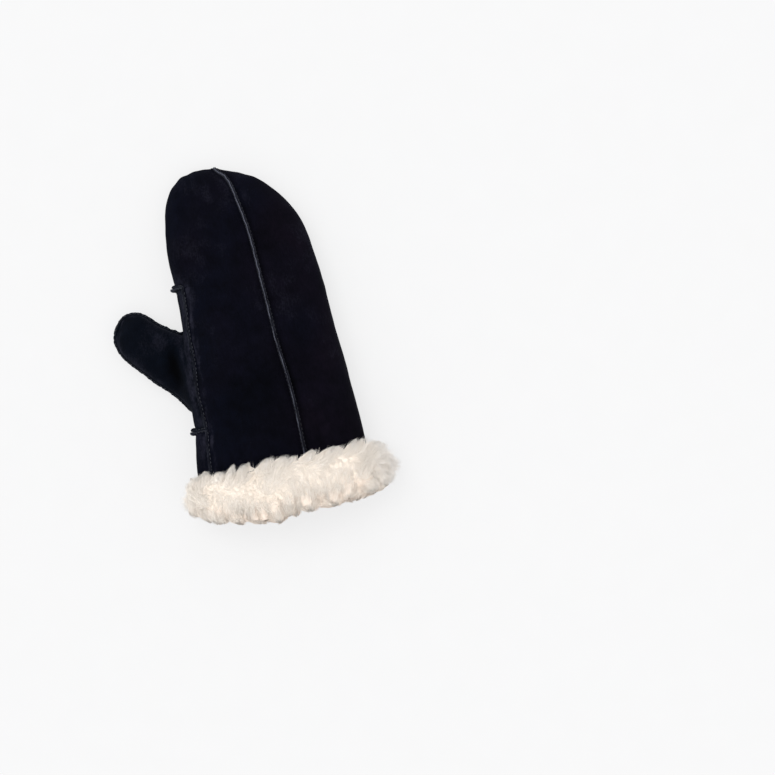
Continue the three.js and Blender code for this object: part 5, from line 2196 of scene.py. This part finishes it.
@dataclass
class MouthLining:
    """The fleece lining as far as it shows in the mouth."""

    hand: HandForm
    wool: Wool
    start: float = 10.3
    end: float = 72.0
    outer: float = 2.3
    pad_depth: float = 3.0
    middle_height: float = 26.0
    around: int = 160
    rows: int = 26
    strands: int = 6500
    inner: np.ndarray = field(init=False)
    inward: np.ndarray = field(init=False)

    def build_pad(self) -> tuple[np.ndarray, np.ndarray, dict[str, np.ndarray]]:
        """Shape the lining's pad, with a lumpy inner face.

        Returns:
            Points, triangles and marks.
        """
        angles = self.hand.even_angles(self.around, self.end / 2.0, 0.0)
        y = np.linspace(self.start, self.end, self.rows)
        grid_angle, grid_y = np.meshgrid(angles, y, indexing="ij")
        outside = self.hand.point(grid_y, grid_angle, self.outer)
        inner = self.hand.point(grid_y, grid_angle, self.outer + self.pad_depth)
        flat = inner.reshape(-1, 3)
        lumps = 0.5 * waves(flat, 9.0, 41) + 0.3 * waves(flat, 4.5, 42)
        height = np.full_like(grid_y, self.middle_height)
        self.inward = unit(np.stack([0.0 * grid_y, grid_y, height], axis=-1) - inner)
        self.inner = inner + self.inward * lumps.reshape(grid_y.shape)[..., None]
        rings = np.concatenate([outside, self.inner[:, ::-1]], axis=1)
        ids = np.arange(rings[..., 0].size).reshape(rings.shape[:2])
        marks = {"tip": np.full(ids.size, 0.2), "tint": np.full(ids.size, 0.5)}
        return rings.reshape(-1, 3), triangles(lofted(ids, loop=True)), marks

    def build_wool(self) -> tuple[np.ndarray, np.ndarray, dict[str, np.ndarray]]:
        """Grow the lining's short wool.

        Returns:
            Points, triangles and marks.
        """
        rng = np.random.default_rng(8)
        i = rng.integers(0, self.around, size=self.strands)
        j = rng.integers(0, self.rows, size=self.strands)
        root = self.inner[i, j] + rng.normal(size=(self.strands, 3)) * [0.8, 0.9, 0.4]
        way = self.inward[i, j] * 0.8 + rng.normal(size=root.shape) * 0.4
        way[:, 1] -= 0.7
        swirl = np.stack([waves(root, 8.0, 43 + k) for k in range(3)], axis=1)
        length = rng.uniform(3.2, 5.6, size=self.strands)
        lines = self.wool.lines(root, unit(way), length)
        lines = lines + swirl[:, None] * 1.1 * self.wool.shares() ** 2
        points, faces, tip = self.wool.strands(lines, rng.uniform(0.8, 1.2, self.strands), 71)
        tint = np.repeat(rng.uniform(size=self.strands), len(tip) // self.strands)
        return points, faces, {"tip": tip, "tint": tint}


@dataclass
class Studio:
    """The pale floor, the soft light and the camera straight above."""

    shop: Workshop
    look_at: tuple[float, float] = (93.56, 78.34)
    camera_height: float = 1488.0
    turn: float = math.radians(-12.5)
    lens: float = 85.0
    sky: float = 1.3
    sky_colour: tuple[float, ...] = (0.985, 0.99, 1.0, 1.0)
    sun: float = 1.0
    sun_colour: tuple[float, ...] = (1.0, 0.985, 0.965)
    sun_tilt: float = math.radians(27.0)
    sun_from: float = math.radians(128.0)
    sun_softness: float = math.radians(38.0)
    floor_dark: tuple[float, ...] = (0.158, 0.158, 0.16)
    floor_pale: tuple[float, ...] = (0.162, 0.162, 0.164)
    floor_reach: float = 6.0
    floor_drop: float = 0.0002
    glow: float = 0.699

    def build(self) -> None:
        """Make the floor, the lights and the camera."""
        view = bpy.context.scene.view_settings
        view.view_transform = "Standard"
        view.look = "None"
        view.exposure = 0.0
        view.gamma = 1.0
        self.build_floor()
        self.build_lights()
        self.build_camera()

    def build_lights(self) -> None:
        """Make the white surroundings and one broad soft light from the side."""
        scene = bpy.context.scene
        world = bpy.data.worlds.new("soft_white")
        world.use_nodes = True
        sky = world.node_tree.nodes["Background"]
        sky.inputs["Color"].default_value = self.sky_colour
        sky.inputs["Strength"].default_value = self.sky
        scene.world = world
        sun = bpy.data.lights.new("window", "SUN")
        sun.energy = self.sun
        sun.angle = self.sun_softness
        sun.color = self.sun_colour
        lamp = bpy.data.objects.new("window", sun)
        lamp.rotation_euler = (self.sun_tilt, 0.0, self.sun_from + math.pi / 2.0)
        scene.collection.objects.link(lamp)

    def build_camera(self) -> None:
        """Make the camera, straight above and turned as the photograph is."""
        eye = bpy.data.cameras.new("camera")
        eye.lens = self.lens
        eye.sensor_width = 36.0
        eye.clip_start = 0.05
        eye.clip_end = 20.0
        camera = bpy.data.objects.new("camera", eye)
        camera.location = self.shop.metres(np.array([*self.look_at, self.camera_height]))
        camera.rotation_euler = (0.0, 0.0, self.turn)
        bpy.context.scene.collection.objects.link(camera)
        bpy.context.scene.camera = camera

    def build_floor(self) -> None:
        """Make the pale floor that the mitten lies on."""
        mesh = bpy.data.meshes.new("floor")
        reach = self.floor_reach
        corners = [(-reach, -reach), (reach, -reach), (reach, reach), (-reach, reach)]
        mesh.from_pydata([(x, y, -self.floor_drop) for x, y in corners], [], [(0, 1, 2, 3)])
        board = Board("pale_floor")
        paper = board.span(board.noise(40.0, 2.0, 0.5), 0.3, 0.7)
        mesh.materials.append(board.finish({
            "Base Color": board.mixed(paper, self.floor_dark, self.floor_pale),
            "Roughness": 0.9,
            "Specular IOR Level": 0.0,
            "Emission Color": (1.0, 1.0, 1.0, 1.0),
            "Emission Strength": self.glow,
        }))
        floor = bpy.data.objects.new("floor", mesh)
        bpy.context.scene.collection.objects.link(floor)


@dataclass
class Mitten:
    """The whole mitten, built piece by piece."""

    shop: Workshop
    hand: HandForm
    thumb: ThumbForm
    shell: SuedeShell = field(init=False)

    def build_suede(self) -> list[bpy.types.Object]:
        """Build and dress the three suede panels with their seam lips.

        Returns:
            The three pieces.
        """
        self.shell = SuedeShell(self.hand, self.thumb)
        self.shell.build(self.shop)
        lips = SeamLips().build(self.shell.seams)
        # The palest nap colour stands for rubbed nap and painted highlight; the edge colour stands
        # for cut edges and the painted lit lips.
        outer = SuedeFinish(
            "suede_outer", deep=(0.0009, 0.0009, 0.0021), cool=(0.0021, 0.0029, 0.0080),
            warm=(0.0044, 0.0028, 0.0064), rubbed_and_lit=(0.0122, 0.0122, 0.0200),
            raw_and_lit_edge=(0.066, 0.070, 0.090),
        ).material()
        gusset = SuedeFinish(
            "suede_gusset", deep=(0.0008, 0.0011, 0.0024), cool=(0.0019, 0.0034, 0.0072),
            warm=(0.0034, 0.0033, 0.0068), rubbed_and_lit=(0.0125, 0.0128, 0.0205),
            raw_and_lit_edge=(0.052, 0.056, 0.072),
        ).material()
        dress = {
            Panel.PALM: ("suede_palm", outer),
            Panel.BACK: ("suede_back", outer),
            Panel.THUMB: ("suede_thumb", gusset),
        }
        made = []
        for panel, (points, faces, wear_and_shading) in self.shell.panels().items():
            all_points, all_faces = [points], [faces]
            all_raw_and_lit, all_wear_and_shading = [np.zeros(len(points))], [wear_and_shading]
            for lip_points, lip_faces, raw_and_lit in lips[panel]:
                all_faces.append(lip_faces + sum(len(p) for p in all_points))
                all_points.append(lip_points)
                all_raw_and_lit.append(raw_and_lit)
                all_wear_and_shading.append(np.full(len(lip_points), 0.5))
            every = np.concatenate(all_points)
            warm = np.clip(0.42 + every[:, 0] / 110.0 + 0.16 * waves(every, 58.0, 61), 0.0, 1.0)
            raw_and_lit, wear_and_shading = np.concatenate(all_raw_and_lit), np.concatenate(all_wear_and_shading)
            name, finish = dress[panel]
            made.append(self.shop.piece(
                name, every, np.concatenate(all_faces), finish, "suede", panel.value,
                {"raw_and_lit": raw_and_lit, "wear_and_shading": wear_and_shading, "warm": warm},
            ))
        return made

    def build_stitching(self) -> list[bpy.types.Object]:
        """Build and dress the stitches, which stand for no node of their own."""
        points, faces, light = Stitching().build(self.shell.seams)
        finish, marks = ThreadFinish().material(), {"light": light}
        return [self.shop.piece("seam_stitches", points, faces, finish, "suede", None, marks)]

    def build_cuff(self) -> list[bpy.types.Object]:
        """Build and dress the fleece cuff.

        Returns:
            The base and the wool's stretches.
        """
        cuff = FleeceCuff(self.hand, Wool())
        # The root colour is partly painted shade, under is painted shade and the palest colour is
        # painted light.
        finish = WoolFinish(
            "cream_fleece", root=(0.70, 0.605, 0.515), middle=(0.925, 0.862, 0.787),
            tip=(0.925, 0.866, 0.796), painted_bright=(0.975, 0.945, 0.915),
            shade=(0.90, 0.815, 0.72), under=(0.62, 0.50, 0.42),
        ).material()
        parts = {"cuff_wool_base": cuff.build_pad()}
        parts.update({side.value: part for side, part in cuff.build_wool().items()})
        return [
            self.shop.piece(name, points, faces, finish, "fleece", "cuff_fleece", marks)
            for name, (points, faces, marks) in parts.items()
        ]

    def build_lining(self) -> list[bpy.types.Object]:
        """Build and dress the lining in the mouth.

        Returns:
            The base and its wool.
        """
        lining = MouthLining(self.hand, Wool(radius=0.24))
        finish = WoolFinish(
            "cream_lining", root=(0.70, 0.61, 0.51), middle=(0.85, 0.78, 0.69),
            tip=(0.92, 0.86, 0.78), painted_bright=(0.92, 0.86, 0.78),
            shade=(0.80, 0.71, 0.61), under=(0.62, 0.50, 0.42),
        ).material()
        parts = {"lining_wool_base": lining.build_pad(), "lining_wool": lining.build_wool()}
        return [
            self.shop.piece(name, points, faces, finish, "lining", "mouth_lining", marks)
            for name, (points, faces, marks) in parts.items()
        ]


def main() -> None:
    """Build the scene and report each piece."""
    logging.basicConfig(level=logging.INFO, format="%(message)s")
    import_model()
    hand = HandForm()
    shop = Workshop(hand)
    Studio(shop).build()
    mitten = Mitten(shop, hand, ThumbForm(hand))
    total = 0
    for build in (
        mitten.build_suede, mitten.build_stitching, mitten.build_cuff, mitten.build_lining,
    ):
        for piece in build():
            log.info("%s: %d faces", piece.name, len(piece.data.polygons))
            total += len(piece.data.polygons)
    log.info("all pieces: %d faces", total)


if __name__ == "__main__":
    main()
